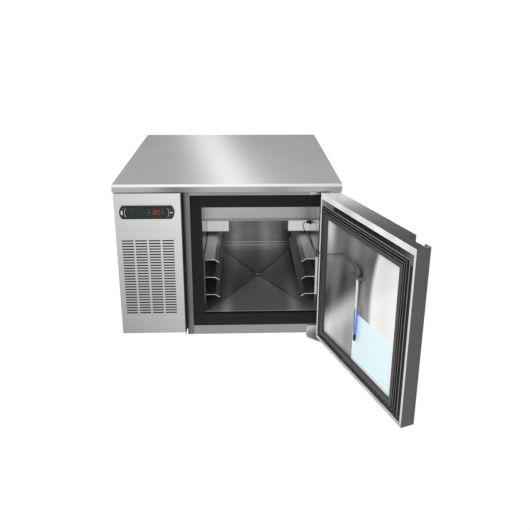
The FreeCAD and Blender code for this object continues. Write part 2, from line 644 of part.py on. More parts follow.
def make_condensing_unit():
    """Compressor, condenser with its fan, drier, electrical box and pipework."""
    x0 = COMP_X0 + 20
    x1 = COMP_X1 - 20
    coil = finned_block(x0, x1, CONDENSER_Y0, SHROUD_Y, CONDENSER_Z0, CONDENSER_Z1, 22)
    keep("condenser_coil", coil)
    shroud = block(x0, x1, SHROUD_Y, SHROUD_Y + 40, CONDENSER_Z0, CONDENSER_Z1).cut(
        block(x0 + SHEET, x1 - SHEET, SHROUD_Y, SHROUD_Y + 40 - SHEET, CONDENSER_Z0 + SHEET,
              CONDENSER_Z1 - SHEET))
    mouth = rod(COND_FAN_RADIUS + FAN_GAP, 10, Vec(MACHINE_X, SHROUD_Y + 34, FAN_Z), Vec(0, 1, 0))
    keep("fan_shroud", shroud.cut(mouth))

    wheel = fan_wheel(COND_FAN_RADIUS, COND_HUB_RADIUS, COND_HUB_HEIGHT, 5, 30)
    bore = 4.0
    wheel = wheel.cut(rod(bore, 40, Vec(0, 0, -5)))
    wheel.rotate(Vec(0, 0, 0), Vec(1, 0, 0), -90)
    wheel_y = SHROUD_Y + 26
    wheel.translate(Vec(MACHINE_X, wheel_y, FAN_Z))
    keep("condenser_fan", wheel)

    motor_y = wheel_y + COND_HUB_HEIGHT + 3
    motor = [
        prism(36, 62, Vec(MACHINE_X, motor_y, FAN_Z), Vec(0, 1, 0), 20),
        rod(bore - PIN_FIT, COND_HUB_HEIGHT + 3, Vec(MACHINE_X, wheel_y, FAN_Z), Vec(0, 1, 0)),
    ]
    legs = []
    for side in (-1, 1):
        x = MACHINE_X + side * 42
        legs.append(block(x - 2, x + 2, motor_y + 20, motor_y + 40, BASE + SHEET, FAN_Z + 10))
    strap = prism_ring(44, 36, 20, Vec(MACHINE_X, motor_y + 20, FAN_Z), Vec(0, 1, 0), 20)
    foot = block(MACHINE_X - 58, MACHINE_X + 58, motor_y + 20, motor_y + 40, BASE + SHEET,
                 BASE + 3)
    legs = joined([strap, foot] + legs).cut(
        prism(36, 20, Vec(MACHINE_X, motor_y + 20, FAN_Z), Vec(0, 1, 0), 20))
    keep("condenser_fan_motor", joined(motor + [legs]))

    centre = Vec(MACHINE_X, COMPRESSOR_Y, BASE + SHEET)
    shell = turned_flat([
        (56, 14), (COMPRESSOR_RADIUS, 34), (COMPRESSOR_RADIUS, 138), (58, 164), (22, 176)],
        centre, 20)
    feet_plate = block(MACHINE_X - 84, MACHINE_X + 84, COMPRESSOR_Y - 66, COMPRESSOR_Y + 66,
                       BASE + SHEET + 10, BASE + SHEET + 14.5)
    keep("compressor", joined([shell, feet_plate]))
    pads = [
        prism_ring(11, 4, 10, Vec(MACHINE_X + sx * 70, COMPRESSOR_Y + sy * 52, BASE + SHEET))
        for sx in (-1, 1) for sy in (-1, 1)
    ]
    keep("compressor_mounts", Part.makeCompound(pads))
    drier_at = Vec(COMP_X0 + 12, 60, BASE + 120)
    drier = joined([prism(12, 90, drier_at), prism(3.2, 24, drier_at - Vec(0, 0, 24)),
                    prism(3.2, 24, drier_at + Vec(0, 0, 90))])
    keep("filter_drier", drier)
    box_y0 = PANEL_BACK + 60
    keep("electrical_box", block(COMP_X0, COMP_X1 - 10, box_y0, box_y0 + 190, LIP_Z - 110,
                                 LIP_Z).cut(
        block(COMP_X0 + 2, COMP_X1 - 12, box_y0 + 2, box_y0 + 188, LIP_Z - 108, LIP_Z - 2)))
    discharge = tube([
        Vec(MACHINE_X + 30, COMPRESSOR_Y - 20, BASE + 165),
        Vec(MACHINE_X + 30, COMPRESSOR_Y - 20, BASE + 250),
        Vec(MACHINE_X + 30, 0, BASE + 250),
        Vec(COMP_X1 - 9, 0, BASE + 250),
        Vec(COMP_X1 - 9, CONDENSER_Y0 + 20, BASE + 250),
        Vec(x1, CONDENSER_Y0 + 20, BASE + 250),
    ], 3.2, 14, 6)[0]
    suction = tube([
        Vec(MACHINE_X - 34, COMPRESSOR_Y, BASE + 165),
        Vec(MACHINE_X - 34, COMPRESSOR_Y, LINE_Z),
        Vec(MACHINE_X - 34, LINE_Y, LINE_Z),
        Vec(COIL_X0 - 17, LINE_Y, LINE_Z),
        Vec(COIL_X0 - 17, HOOD_Y + 180, LINE_Z),
        Vec(COIL_X0, HOOD_Y + 180, LINE_Z),
    ], 5.0, 24, 6)[0]
    compressor = NODES["compressor"]
    keep("refrigerant_lines", Part.makeCompound([
        discharge.cut(compressor), suction.cut(compressor)]))


# ---------------------------------------------------------------- evaporator


def make_evaporator():
    """Cover under the ceiling, coil, fan with its motor and guard, and two air baffles."""
    hx0 = OX0 + HOOD_GAP
    hx1 = OX1 - HOOD_GAP
    front = block(hx0, hx1, HOOD_Y, HOOD_Y + SHEET, HOOD_Z, OZ1)
    floor = block(hx0, hx1, HOOD_Y, Y_BACK - LINER_RADIUS, HOOD_Z, HOOD_Z + SHEET)
    mouth = rod(EVAP_FAN_RADIUS + FAN_GAP, 6, Vec(OXC, EVAP_Y, HOOD_Z - 2))
    slots = [
        block(hx0 + 22 + 36 * k, hx0 + 22 + 36 * k + 24, HOOD_Y + 18, HOOD_Y + 48, HOOD_Z,
              HOOD_Z + SHEET)
        for k in range(9)
    ]
    keep("evaporator_cover", joined([front, floor]).cut([mouth] + slots))

    coil_y0 = HOOD_Y + 62
    coil_y1 = coil_y0 + COIL_DEPTH
    coil = finned_block(COIL_X0 + 2, COIL_X1 - 2, coil_y0, coil_y1, HOOD_Z + 6, OZ1 - 4,
                        COIL_FINS)
    ends = [
        block(x, x + 2, coil_y0 - 4, coil_y1 + 4, HOOD_Z + SHEET, OZ1)
        for x in (COIL_X0, COIL_X1 - 2)
    ]
    keep("evaporator_coil", joined([coil] + ends))

    wheel = fan_wheel(EVAP_FAN_RADIUS, EVAP_HUB_RADIUS, EVAP_HUB_HEIGHT, 5, 24)
    bore = 3.0
    wheel = wheel.cut(rod(bore, 40, Vec(0, 0, -5)))
    wheel_z = HOOD_Z + 2
    wheel.translate(Vec(OXC, EVAP_Y, wheel_z))
    keep("evaporator_fan", wheel)
    motor_z = wheel_z + EVAP_HUB_HEIGHT + 3
    motor = joined([
        rod(30, OZ1 - motor_z - 6, Vec(OXC, EVAP_Y, motor_z)),
        block(OXC - 110, OXC + 110, EVAP_Y - 12, EVAP_Y + 12, OZ1 - 6, OZ1),
        rod(bore - PIN_FIT, EVAP_HUB_HEIGHT + 3, Vec(OXC, EVAP_Y, wheel_z)),
    ])
    keep("evaporator_fan_motor", motor)
    guard_z = HOOD_Z - 3
    bars = [
        prism_ring(r + 1.2, r - 1.2, 2.2, Vec(OXC, EVAP_Y, guard_z + 0.8), sides=12)
        for r in (30, 52, 75, 99.5)
    ]
    for k in range(3):
        bar = block(-102, 102, -1.2, 1.2, guard_z, guard_z + 1.2)
        bar.rotate(Vec(0, 0, 0), Vec(0, 0, 1), 60 * k)
        bar.translate(Vec(OXC, EVAP_Y, 0))
        bars.append(bar)
    keep("fan_guard", joined(bars))

    y = Y_FACE + BAFFLE_SETBACK
    fold = 10.0
    baffles = []
    for x0, x1 in ((hx0, hx0 + BAFFLE_WIDTH), (hx1 - BAFFLE_WIDTH, hx1)):
        baffles.append(joined([
            block(x0, x1, y, y + SHEET, HOOD_Z - BAFFLE_DROP, HOOD_Z),
            block(x0, x1, y, y + fold, HOOD_Z - BAFFLE_DROP, HOOD_Z - BAFFLE_DROP + SHEET),
            block(x0, x1, y, y + fold, HOOD_Z - SHEET, HOOD_Z),
        ]))
    keep("air_baffles", Part.makeCompound(baffles))


# ---------------------------------------------------------------- tray racks
def make_racks():
    """Four uprights on the side walls and three tray runners a side."""
    y0 = Y_FACE + RUNNER_SETBACK
    top = OZ0 + TOP_LEVEL
    uprights = []
    runners = {-1: [], 1: []}
    for side, wall in ((-1, OX0), (1, OX1)):
        def x(distance):
            return wall - side * distance

        for front, near in ((y0, True), (y0 + RUNNER_LENGTH - 4 * UPRIGHT_DEPTH, False)):
            a, b = sorted((x(0), x(UPRIGHT_SHEET)))
            c, d = sorted((x(0), x(UPRIGHT_FLANGE)))
            leg = [block(a, b, front - UPRIGHT_SHEET, front + UPRIGHT_DEPTH, OZ0,
                         top + UPRIGHT_ABOVE)]
            if near:
                leg.append(block(c, d, front - UPRIGHT_SHEET, front, OZ0, top + UPRIGHT_ABOVE))
            uprights.append(leg[0] if len(leg) == 1 else joined(leg))
        for level in range(LEVELS):
            z = top - LEVEL_PITCH * level
            s = RUNNER_SHEET
            back = UPRIGHT_SHEET
            ledge = back + RUNNER_LEDGE
            tip = ledge + RUNNER_LIP
            outline = [(back, z), (ledge, z), (tip, z - RUNNER_LIP_DROP),
                       (tip - 0.6 * s, z - RUNNER_LIP_DROP - s), (ledge - 0.3 * s, z - s),
                       (back + s, z - s), (back + s, z - RUNNER_WEB), (back, z - RUNNER_WEB)]
            points = [Vec(x(d), y0, h) for d, h in outline]
            runners[side].append(plate(points, Vec(0, RUNNER_LENGTH, 0)))
    keep("rack_uprights", Part.makeCompound(uprights))
    keep("tray_runners_left", Part.makeCompound(runners[-1]))
    keep("tray_runners_right", Part.makeCompound(runners[1]))


# ---------------------------------------------------------------- hinge, feet and fasteners
def make_hinges():
    """Top and bottom brackets with their pins, and the collar that carries the door."""
    reach_y = HINGE_Y - PIN_RADIUS - 5
    plate_x1 = X1
    plate_x0 = plate_x1 - BRACKET_WIDTH
    # bottom: an angle on the sill whose tongue runs under the door
    tongue_z1 = BASE - BRACKET_SHEET
    tongue_z0 = tongue_z1 - BRACKET_SHEET
    bend_y = Y_FACE - BRACKET_SHEET
    tongue = plate([
        Vec(plate_x0 + 2, Y_FACE, tongue_z0), Vec(plate_x0 + 2, bend_y - 16, tongue_z0),
        Vec(HINGE_X - 18, reach_y, tongue_z0), Vec(HINGE_X + PIN_RADIUS + 6, reach_y, tongue_z0),
        Vec(HINGE_X + PIN_RADIUS + 6, Y_FACE, tongue_z0)], Vec(0, 0, BRACKET_SHEET))
    face_top = BZ0 - 4
    upright = block(plate_x0, plate_x1, bend_y, Y_FACE, tongue_z0, face_top)
    screw_z = BASE + 16.0
    screw_x = [plate_x0 + 7.0, plate_x0 + 29.0, plate_x1 - 12.0]
    bottom = joined([upright, tongue])
    for x in screw_x:
        bottom = bottom.cut(prism(SCREW_RADIUS + PIN_FIT, 10, Vec(x, bend_y - 2, screw_z),
                                  Vec(0, 1, 0)))
    pin_hole = rod(PIN_RADIUS + PIN_FIT, 30, Vec(HINGE_X, HINGE_Y, tongue_z0 - 5))
    keep("hinge_bracket_bottom", bottom.cut(pin_hole))
    pin_low = tongue_z0 - 2
    # top: a flat plate under the worktop
    z1 = LIP_Z - 0.5
    z0 = z1 - BRACKET_TOP_SHEET
    top = plate([
        Vec(plate_x0, Y_FACE, z0), Vec(plate_x0, Y_FACE - 16, z0),
        Vec(HINGE_X - 18, reach_y, z0), Vec(HINGE_X + PIN_RADIUS + 6, reach_y, z0),
        Vec(HINGE_X + PIN_RADIUS + 6, Y_FACE, z0)], Vec(0, 0, BRACKET_TOP_SHEET))
    drop = block(plate_x0, plate_x1 - 2, Y_FACE - BRACKET_TOP_SHEET, Y_FACE, BZ1 + 2, z1)
    top_bracket = joined([top, drop])
    top_screw_z = (BZ1 + LIP_Z) / 2
    for x in screw_x:
        top_bracket = top_bracket.cut(prism(SCREW_RADIUS + PIN_FIT, 10,
                                            Vec(x, Y_FACE - 8, top_screw_z), Vec(0, 1, 0)))
    keep("hinge_bracket_top", top_bracket.cut(
        rod(PIN_RADIUS + PIN_FIT, 12, Vec(HINGE_X, HINGE_Y, z0 - 5))))
    pins = [
        rod(PIN_RADIUS, DZ0 + BUSH_DEPTH - 4 - pin_low, Vec(HINGE_X, HINGE_Y, pin_low)),
        rod(PIN_RADIUS, z1 - (DZ1 - BUSH_DEPTH + 4), Vec(HINGE_X, HINGE_Y, DZ1 - BUSH_DEPTH + 4)),
    ]
    keep("hinge_pins", Part.makeCompound(pins))
    collar = ring(RISER_RADIUS, PIN_RADIUS + PIN_FIT, DZ0 - CLEAR - tongue_z1,
                  Vec(HINGE_X, HINGE_Y, tongue_z1))
    keep("hinge_collar", collar)

    def screw(x, y, z, head=4.4):
        rim = prism(head, 1.1, Vec(x, y - 1.1, z), Vec(0, 1, 0))
        crown = prism(0.7 * head, 0.9, Vec(x, y - 2.0, z), Vec(0, 1, 0))
        shank = prism(SCREW_RADIUS, 9.0, Vec(x, y, z), Vec(0, 1, 0))
        return joined([rim, crown, shank])

    screws = [screw(x, bend_y, screw_z) for x in screw_x]
    screws += [screw(x, Y_FACE - BRACKET_TOP_SHEET, top_screw_z) for x in screw_x]
    holes = [prism(SCREW_RADIUS + PIN_FIT, 12.0, Vec(x, Y_FACE - 5, z), Vec(0, 1, 0))
             for x in screw_x for z in (screw_z, top_screw_z)]
    keep("hinge_screws", Part.makeCompound(screws))
    NODES["front_frame"] = NODES["front_frame"].cut(holes)
    NODES["insulation_foam"] = NODES["insulation_foam"].cut(holes)


def make_feet():
    """Four adjustable feet: rubber pad, stem and lock nut, set well under the cabinet."""
    pads = []
    stems = []
    for x in (X0 + 62, X1 - 62):
        for y in FOOT_ROWS:
            pads.append(joined([prism(22.5, 7, Vec(x, y, 0), sides=16),
                                prism(12, 5, Vec(x, y, 7), sides=12)]))
            stems.append(joined([prism(7, FOOT_HEIGHT - 12, Vec(x, y, 12)),
                                 prism(12, 8, Vec(x, y, 28), sides=6)]))
    keep("foot_pads", Part.makeCompound(pads))
    keep("foot_stems", Part.makeCompound(stems))


# ---------------------------------------------------------------- door, drawn closed


def door_outline(inset, z0, z1):
    """Door body: full thickness, stepped back along the latch edge."""
    points = [
        Vec(DX1 - inset, Y_FRONT + inset, z0), Vec(DX1 - inset, Y_INNER - inset, z0),
        Vec(DX0 + inset, Y_INNER - inset, z0), Vec(DX0 + inset, CHANNEL_Y + inset, z0),
        Vec(CHANNEL_X + inset, CHANNEL_Y + inset, z0), Vec(CHANNEL_X + inset, Y_FRONT + inset, z0),
    ]
    return plate(points, Vec(0, 0, z1 - z0))


def make_door():
    """Folded outer skin, foam core, inner liner, gasket, grip and hinge bushes."""
    outer = door_outline(0, DZ0, DZ1)
    corners = [
        e for e in outer.Edges
        if e.BoundBox.ZLength > 10 and abs(e.BoundBox.YMin - Y_FRONT) < 1e-6
    ]
    outer = outer.makeFillet(2.5, corners)
    hollow = door_outline(SHEET, DZ0 + SHEET, DZ1 - SHEET)
    window = block(DX0 + DOOR_FLANGE, DX1 - DOOR_FLANGE, Y_INNER - SHEET, Y_INNER,
                   DZ0 + DOOR_FLANGE, DZ1 - DOOR_FLANGE)
    bush_hole = BUSH_RADIUS + PIN_FIT
    bush_holes = [rod(bush_hole, SHEET, Vec(HINGE_X, HINGE_Y, z)) for z in (DZ0, DZ1 - SHEET)]
    keep_door("door_outer_skin", outer.cut([hollow, window] + bush_holes))

    liner_edge = 12.0
    liner = block(DX0 + liner_edge, DX1 - liner_edge, Y_LINER_FACE - SHEET, Y_LINER_FACE,
                  DZ0 + liner_edge, DZ1 - liner_edge)
    holder_screws = [
        prism(SMALL_SCREW_RADIUS + PIN_FIT, 6, Vec(x, Y_LINER_FACE - 5, HOLDER_SCREW_Z),
              Vec(0, 1, 0))
        for x in HOLDER_SCREWS]
    keep_door("door_liner", liner.cut(holder_screws))

    foam = door_outline(SHEET, DZ0 + SHEET, DZ1 - SHEET).cut([liner] + holder_screws + [
        rod(bush_hole, BUSH_DEPTH, Vec(HINGE_X, HINGE_Y, DZ0)),
        rod(bush_hole, BUSH_DEPTH, Vec(HINGE_X, HINGE_Y, DZ1 - BUSH_DEPTH)),
    ])
    keep_door("door_foam_core", foam)

    # gasket: a flat magnet strip inside, three bellows ridges outside
    magnet = 13.5
    ridge = 3.0
    valley = 2.83
    crest = Y_INNER + GASKET_HEIGHT

    def loop(inset, width, y1):
        return frame_ring(GX0 + inset, GX1 - inset, GZ0 + inset, GZ1 - inset,
                          GX0 + inset + width, GX1 - inset - width,
                          GZ0 + inset + width, GZ1 - inset - width, Y_LINER_FACE, y1)

    rings = [loop(0, GASKET_WIDTH, Y_INNER + 3.0), loop(GASKET_WIDTH - magnet, magnet, crest)]
    rings += [loop((ridge + valley) * k, ridge, crest - 0.8) for k in range(3)]
    flange = block(DX0, DX1, Y_INNER - SHEET, Y_INNER, DZ0, DZ1).cut(window)
    keep_door("door_gasket", joined(rings).cut(flange))

    bushes = []
    for z in (DZ0, DZ1 - BUSH_DEPTH):
        bushes.append(ring(BUSH_RADIUS, PIN_RADIUS + PIN_FIT, BUSH_DEPTH,
                           Vec(HINGE_X, HINGE_Y, z)))
    keep_door("hinge_bushes", Part.makeCompound(bushes))


def make_grip():
    """J-shaped pull profile along the latch edge, over the finger channel."""
    x0 = DX0
    y0 = CHANNEL_Y
    y_top = Y_INNER - GRIP_HEIGHT
    r = 3.5
    nose = GRIP_LIP_THICKNESS / 2
    lip_x = x0 + GRIP_LIP - nose
    y_under = y_top + GRIP_LIP_THICKNESS
    k = math.sqrt(0.5)
    z0 = DZ0
    edges = [
        Part.LineSegment(Vec(x0 + GRIP_WALL, y0, z0), Vec(x0, y0, z0)),
        Part.LineSegment(Vec(x0, y0, z0), Vec(x0, y_top + r, z0)),
        Part.Arc(Vec(x0, y_top + r, z0), Vec(x0 + r - r * k, y_top + r - r * k, z0),
                 Vec(x0 + r, y_top, z0)),
        Part.LineSegment(Vec(x0 + r, y_top, z0), Vec(lip_x, y_top, z0)),
        Part.Arc(Vec(lip_x, y_top, z0), Vec(lip_x + nose, y_top + nose, z0),
                 Vec(lip_x, y_under, z0)),
        Part.LineSegment(Vec(lip_x, y_under, z0), Vec(x0 + GRIP_WALL, y_under, z0)),
        Part.LineSegment(Vec(x0 + GRIP_WALL, y_under, z0), Vec(x0 + GRIP_WALL, y0, z0)),
    ]
    wire = Part.Wire([e.toShape() for e in edges])
    profile = Part.Face(wire).extrude(Vec(0, 0, DZ1 - DZ0))
    base = block(x0, x0 + 30, y0 - 1.5, y0, DZ0, DZ1)
    keep_door("grip_profile", joined([profile, base]))
    DOOR_SCREWS.extend(
        prism(3.6, 1.6, Vec(x0 + 24, y0 - 3.1, z), Vec(0, 1, 0))
        for z in (DZ0 + 30, (DZ0 + DZ1) / 2, DZ1 - 30))


DOOR_SCREWS = []

# ---------------------------------------------------------------- probe on the door, drawn closed


def make_probe():
    """Needle with its sleeve, curved handle, wall holder and the blank instruction sheet."""
    tip = PROBE_TIP
    needle = turned_flat([
        (0.6, tip), (NEEDLE_RADIUS, tip + 9), (NEEDLE_RADIUS, NEEDLE_TOP + 4)],
        Vec(PROBE_X, PROBE_Y, 0), 12)
    keep_door("probe_needle", needle)
    # handle: rests on the holder's shelf, then turns towards the hinge
    shelf_z = HOLDER_Z
    grip_z = shelf_z + HOLDER_SHEET
    route = [
        Vec(PROBE_X - 4, PROBE_Y + 1.5, grip_z),
        Vec(PROBE_X - 4, PROBE_Y + 1.5, grip_z + 21),
        Vec(PROBE_X + 78, PROBE_Y + 1.5, grip_z + 34),
    ]
    body = tube(route, HANDLE_RADIUS, None, 10)[0]
    stem = rod(3.4, grip_z - NEEDLE_TOP + 6, Vec(PROBE_X, PROBE_Y, NEEDLE_TOP - 6))
    stem = stem.cut(rod(NEEDLE_RADIUS + PIN_FIT, 60, Vec(PROBE_X, PROBE_Y, NEEDLE_TOP - 56)))
    keep_door("probe_handle", joined([body, stem]))
    out_of_handle = (route[-1] - route[-2]).normalize()
    HANDLE_END.append(route[-1] + out_of_handle * 1.3)

    arm = 24.0
    half = 26.0
    screw_z = HOLDER_SCREW_Z
    back_y = Y_LINER_FACE + HOLDER_SHEET
    tabs = [
        block(x - 5, x + 5, Y_LINER_FACE, back_y, screw_z - 6, shelf_z + HOLDER_SHEET)
        for x in HOLDER_SCREWS
    ]
    shelf = block(PROBE_X - half, PROBE_X + half, Y_LINER_FACE, Y_LINER_FACE + arm, shelf_z,
                  shelf_z + HOLDER_SHEET)
    slot = 3.8
    mouth = rod(slot, 6, Vec(PROBE_X, PROBE_Y, shelf_z - 2)).fuse(
        block(PROBE_X - slot, PROBE_X + slot, PROBE_Y, Y_LINER_FACE + arm + 1, shelf_z - 2,
              shelf_z + 4))
    bores = [prism(SMALL_SCREW_RADIUS + PIN_FIT, 10, Vec(x, Y_LINER_FACE - 4, screw_z),
                   Vec(0, 1, 0)) for x in HOLDER_SCREWS]
    keep_door("probe_holder", joined([shelf] + tabs).cut(mouth).cut(bores))
    for x in HOLDER_SCREWS:
        DOOR_SCREWS.append(joined([
            prism(SMALL_SCREW_RADIUS, HOLDER_SHEET + 4, Vec(x, Y_LINER_FACE - 4, screw_z),
                  Vec(0, 1, 0)),
            prism(3.2, 1.6, Vec(x, back_y, screw_z), Vec(0, 1, 0)),
        ]))
    keep_door("door_screws", Part.makeCompound(DOOR_SCREWS))

    label_x0 = GX0 + GASKET_WIDTH + LABEL_GAP
    label_z0 = GZ0 + GASKET_WIDTH + 1
    keep_door("instruction_sheet", block(
        label_x0, label_x0 + LABEL_WIDTH, Y_LINER_FACE, Y_LINER_FACE + LABEL_SHEET, label_z0,
        label_z0 + LABEL_HEIGHT))


HANDLE_END = []


def make_probe_cable():
    """Gland on the chamber's right wall and the free lead from it to the probe's handle."""
    gland = joined([
        prism(9, 3, Vec(OX1 - 3, GLAND_Y, GLAND_Z), Vec(1, 0, 0)),
        prism(5.5, 10, Vec(OX1 - 13, GLAND_Y, GLAND_Z), Vec(1, 0, 0)),
        prism(GLAND_STEM, 18, Vec(OX1, GLAND_Y, GLAND_Z), Vec(1, 0, 0)),
    ])
    keep("cable_gland", gland)
    turned = HANDLE_END[0] - Vec(HINGE_X, HINGE_Y, 0)
    angle = math.radians(DOOR_OPEN)
    end = Vec(
        HINGE_X + turned.x * math.cos(angle) - turned.y * math.sin(angle),
        HINGE_Y + turned.x * math.sin(angle) + turned.y * math.cos(angle), turned.z)
    route = [Vec(OX1 - 13, GLAND_Y, GLAND_Z)] + [Vec(*p) for p in CABLE_ROUTE] + [end]
    cable, radii, length = tube(route, CABLE_RADIUS, None, 8)
    keep("probe_cable", cable)
    print("probe cable length", round(length, 1))
    print("probe cable radii", [round(r, 1) for r in radii])
    section = 4 * math.sin(math.radians(45)) * CABLE_RADIUS ** 2
    print("probe cable volume over section times length", round(cable.Volume / section / length, 4))
    print("handle end", [round(v, 1) for v in end])


# free stretch from the gland along the wall, round the gasket and over the door's liner
CABLE_ROUTE = [
    (254.0, -58.0, 343.0),
    (246.0, -86.0, 338.0),
    (256.0, -128.0, 330.0),
    (268.0, -176.0, 324.0),
    (274.0, -228.0, 320.0),
    (276.0, -284.0, 324.0),
    (272.0, -332.0, 340.0),
    (274.7, -373.4, 361.0),
    (285.8, -406.7, 370.0),
    (300.2, -441.8, 384.0),
    (313.5, -478.5, 401.0),
]

make_worktop()
make_cabinet_sheets()
make_front_frame()
make_chamber()
make_drain()
make_service_panel()
make_controller()
make_condensing_unit()
make_evaporator()
make_racks()
make_hinges()
make_feet()
make_door()
make_grip()
make_probe()
make_probe_cable()

for name, shape in NODES.items():
    solid = shape if shape.ShapeType != "Compound" or len(shape.Solids) > 1 else shape.Solids[0]
    if not solid.isValid():
        print("not valid:", name)
    solid.exportStep("parts/%s.step" % name)
print(len(NODES), "nodes written")
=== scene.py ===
"""Looks of a three-tray blast chiller: finishes for its sheet metal, and the rounded,
soft and printed pieces that its plain solids leave out.

Metres, in the part's own frame: X right, Y away from the user, Z up, floor at zero.
"""

import json
import math

import bpy
import numpy as np
from mathutils import Matrix, Vector


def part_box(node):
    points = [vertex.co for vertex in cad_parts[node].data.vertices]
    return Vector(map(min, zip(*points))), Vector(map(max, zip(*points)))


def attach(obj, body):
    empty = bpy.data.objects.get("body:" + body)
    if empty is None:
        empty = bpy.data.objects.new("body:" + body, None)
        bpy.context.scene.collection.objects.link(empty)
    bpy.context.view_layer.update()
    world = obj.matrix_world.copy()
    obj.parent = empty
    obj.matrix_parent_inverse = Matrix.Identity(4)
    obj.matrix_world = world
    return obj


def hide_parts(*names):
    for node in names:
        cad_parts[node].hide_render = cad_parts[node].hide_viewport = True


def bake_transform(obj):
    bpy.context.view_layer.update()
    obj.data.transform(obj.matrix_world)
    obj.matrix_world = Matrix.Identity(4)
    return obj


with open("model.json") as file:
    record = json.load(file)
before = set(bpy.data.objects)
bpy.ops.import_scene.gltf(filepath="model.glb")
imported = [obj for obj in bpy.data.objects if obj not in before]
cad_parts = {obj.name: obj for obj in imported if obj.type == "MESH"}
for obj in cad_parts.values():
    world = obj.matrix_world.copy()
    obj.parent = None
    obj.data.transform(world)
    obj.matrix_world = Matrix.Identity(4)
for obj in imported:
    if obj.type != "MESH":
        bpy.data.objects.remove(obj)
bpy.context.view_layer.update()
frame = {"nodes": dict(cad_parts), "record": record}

bl_info = {
    "name": "Blast Chiller",
    "version": (1, 0, 0),
    "blender": (4, 5, 0),
    "location": "View3D > Sidebar > Blast Chiller",
    "description": "Finishes and rounded pieces of a three-tray blast chiller",
    "category": "Object",
}


# ------------------------------------------------------------------ shader maths
class Wire:
    """A shader value that takes part in Python arithmetic; each step adds a Math node."""

    def __init__(self, nodes, socket):
        self.nodes = nodes
        self.socket = socket

    def _maths(self, operation, *values):
        return self.nodes.node("Math", {"operation": operation}, dict(enumerate(values)))

    def __add__(self, other):
        return self._maths("ADD", self, other)

    def __radd__(self, other):
        return self._maths("ADD", other, self)

    def __sub__(self, other):
        return self._maths("SUBTRACT", self, other)

    def __rsub__(self, other):
        return self._maths("SUBTRACT", other, self)

    def __mul__(self, other):
        return self._maths("MULTIPLY", self, other)

    def __rmul__(self, other):
        return self._maths("MULTIPLY", other, self)

    def __truediv__(self, other):
        return self._maths("DIVIDE", self, other)

    def __gt__(self, other):
        return self._maths("GREATER_THAN", self, other)

    def __lt__(self, other):
        return self._maths("LESS_THAN", self, other)

    def size(self):
        """The value without its sign."""
        return self._maths("ABSOLUTE", self)

    def least(self, other):
        """The smaller of two values."""
        return self._maths("MINIMUM", self, other)

    def most(self, other):
        """The larger of two values."""
        return self._maths("MAXIMUM", self, other)

    def turn(self):
        """Sine of the value."""
        return self._maths("SINE", self)

    def bell(self, centre, width):
        """exp(-((v - centre) / width) ** 2)."""
        offset = (self - centre) / width
        return self._maths("POWER", math.e, 0.0 - offset * offset)


class Nodes:
    """A node tree, with one way to add a node to it."""

    def __init__(self, tree):
        self.tree = tree

    def join(self, socket, value):
        """Puts a constant or a wire on a socket."""
        if isinstance(value, Wire):
            self.tree.links.new(value.socket, socket)
        else:
            socket.default_value = value

    def node(self, kind, settings=None, sockets=None, out=0):
        """Adds a node: its type, its settings, then the values or wires of its sockets."""
        made = self.tree.nodes.new("ShaderNode" + kind)
        for key, value in (settings or {}).items():
            setattr(made, key, value)
        for key, value in (sockets or {}).items():
            self.join(made.inputs[key], value)
        return Wire(self, made.outputs[out])

    def seen(self):
        """1 for camera, glossy and transmission rays."""
        path = self.node("LightPath").socket.node
        rays = [Wire(self, path.outputs[f"Is {name} Ray"])
                for name in ("Camera", "Glossy", "Transmission")]
        return rays[0].most(rays[1]).most(rays[2])


class Finish(Nodes):
    """One procedural material on Principled BSDF."""

    def __init__(self, name, colour, rough, metal=0.0, **constants):
        self.material = bpy.data.materials.new(name)
        self.material.use_nodes = True
        super().__init__(self.material.node_tree)
        self.shader = self.tree.nodes["Principled BSDF"]
        self.material.diffuse_color = (*colour[:3], 1.0)
        self.set("Base Color", (*colour[:3], 1.0))
        self.set("Roughness", rough)
        self.set("Metallic", metal)
        for socket, value in constants.items():
            self.set(socket.replace("_", " "), value)

    def set(self, socket, value):
        """Puts a constant or a wire on one of the shader's sockets."""
        self.join(self.shader.inputs[socket], value)

    def place(self):
        """Object coordinates."""
        return self.node("TexCoord", out="Object")

    def axes(self):
        """X, Y and Z of the object coordinates, as three wires."""
        split = self.node("SeparateXYZ", None, {0: self.place()}).socket.node
        return [Wire(self, split.outputs[k]) for k in range(3)]

    def noise(self, scale, detail=3.0, rough=0.55, stretch=(1, 1, 1)):
        """Value noise between 0 and 1, with its own scale along each axis."""
        spread = self.node(
            "Mapping", None, {"Vector": self.place(), "Scale": [scale * s for s in stretch]})
        return self.node("TexNoise", None, {
            "Vector": spread, "Scale": 1.0, "Detail": detail, "Roughness": rough})

    def mix(self, share, low, high):
        """Colour between low and high."""
        return self.node("Mix", {"data_type": "RGBA"}, {0: share, 6: low, 7: high}, out=2)

    def grey(self, value, tint=(1.0, 1.0, 1.0)):
        """Colour from one value, times a tint."""
        return self.node("CombineColor", None, {k: value * tint[k] for k in range(3)})

    def emboss(self, height, depth, strength=1.0):
        """Bump from a height between 0 and 1 and its depth in metres."""
        self.set("Normal", self.node(
            "Bump", None, {"Strength": strength, "Distance": depth, "Height": height}))
        return self


# noise stretched along the way that a sheet was brushed
GRAIN = {"X": (0.006, 1, 1), "Y": (1, 0.006, 1), "Z": (1, 1, 0.006)}


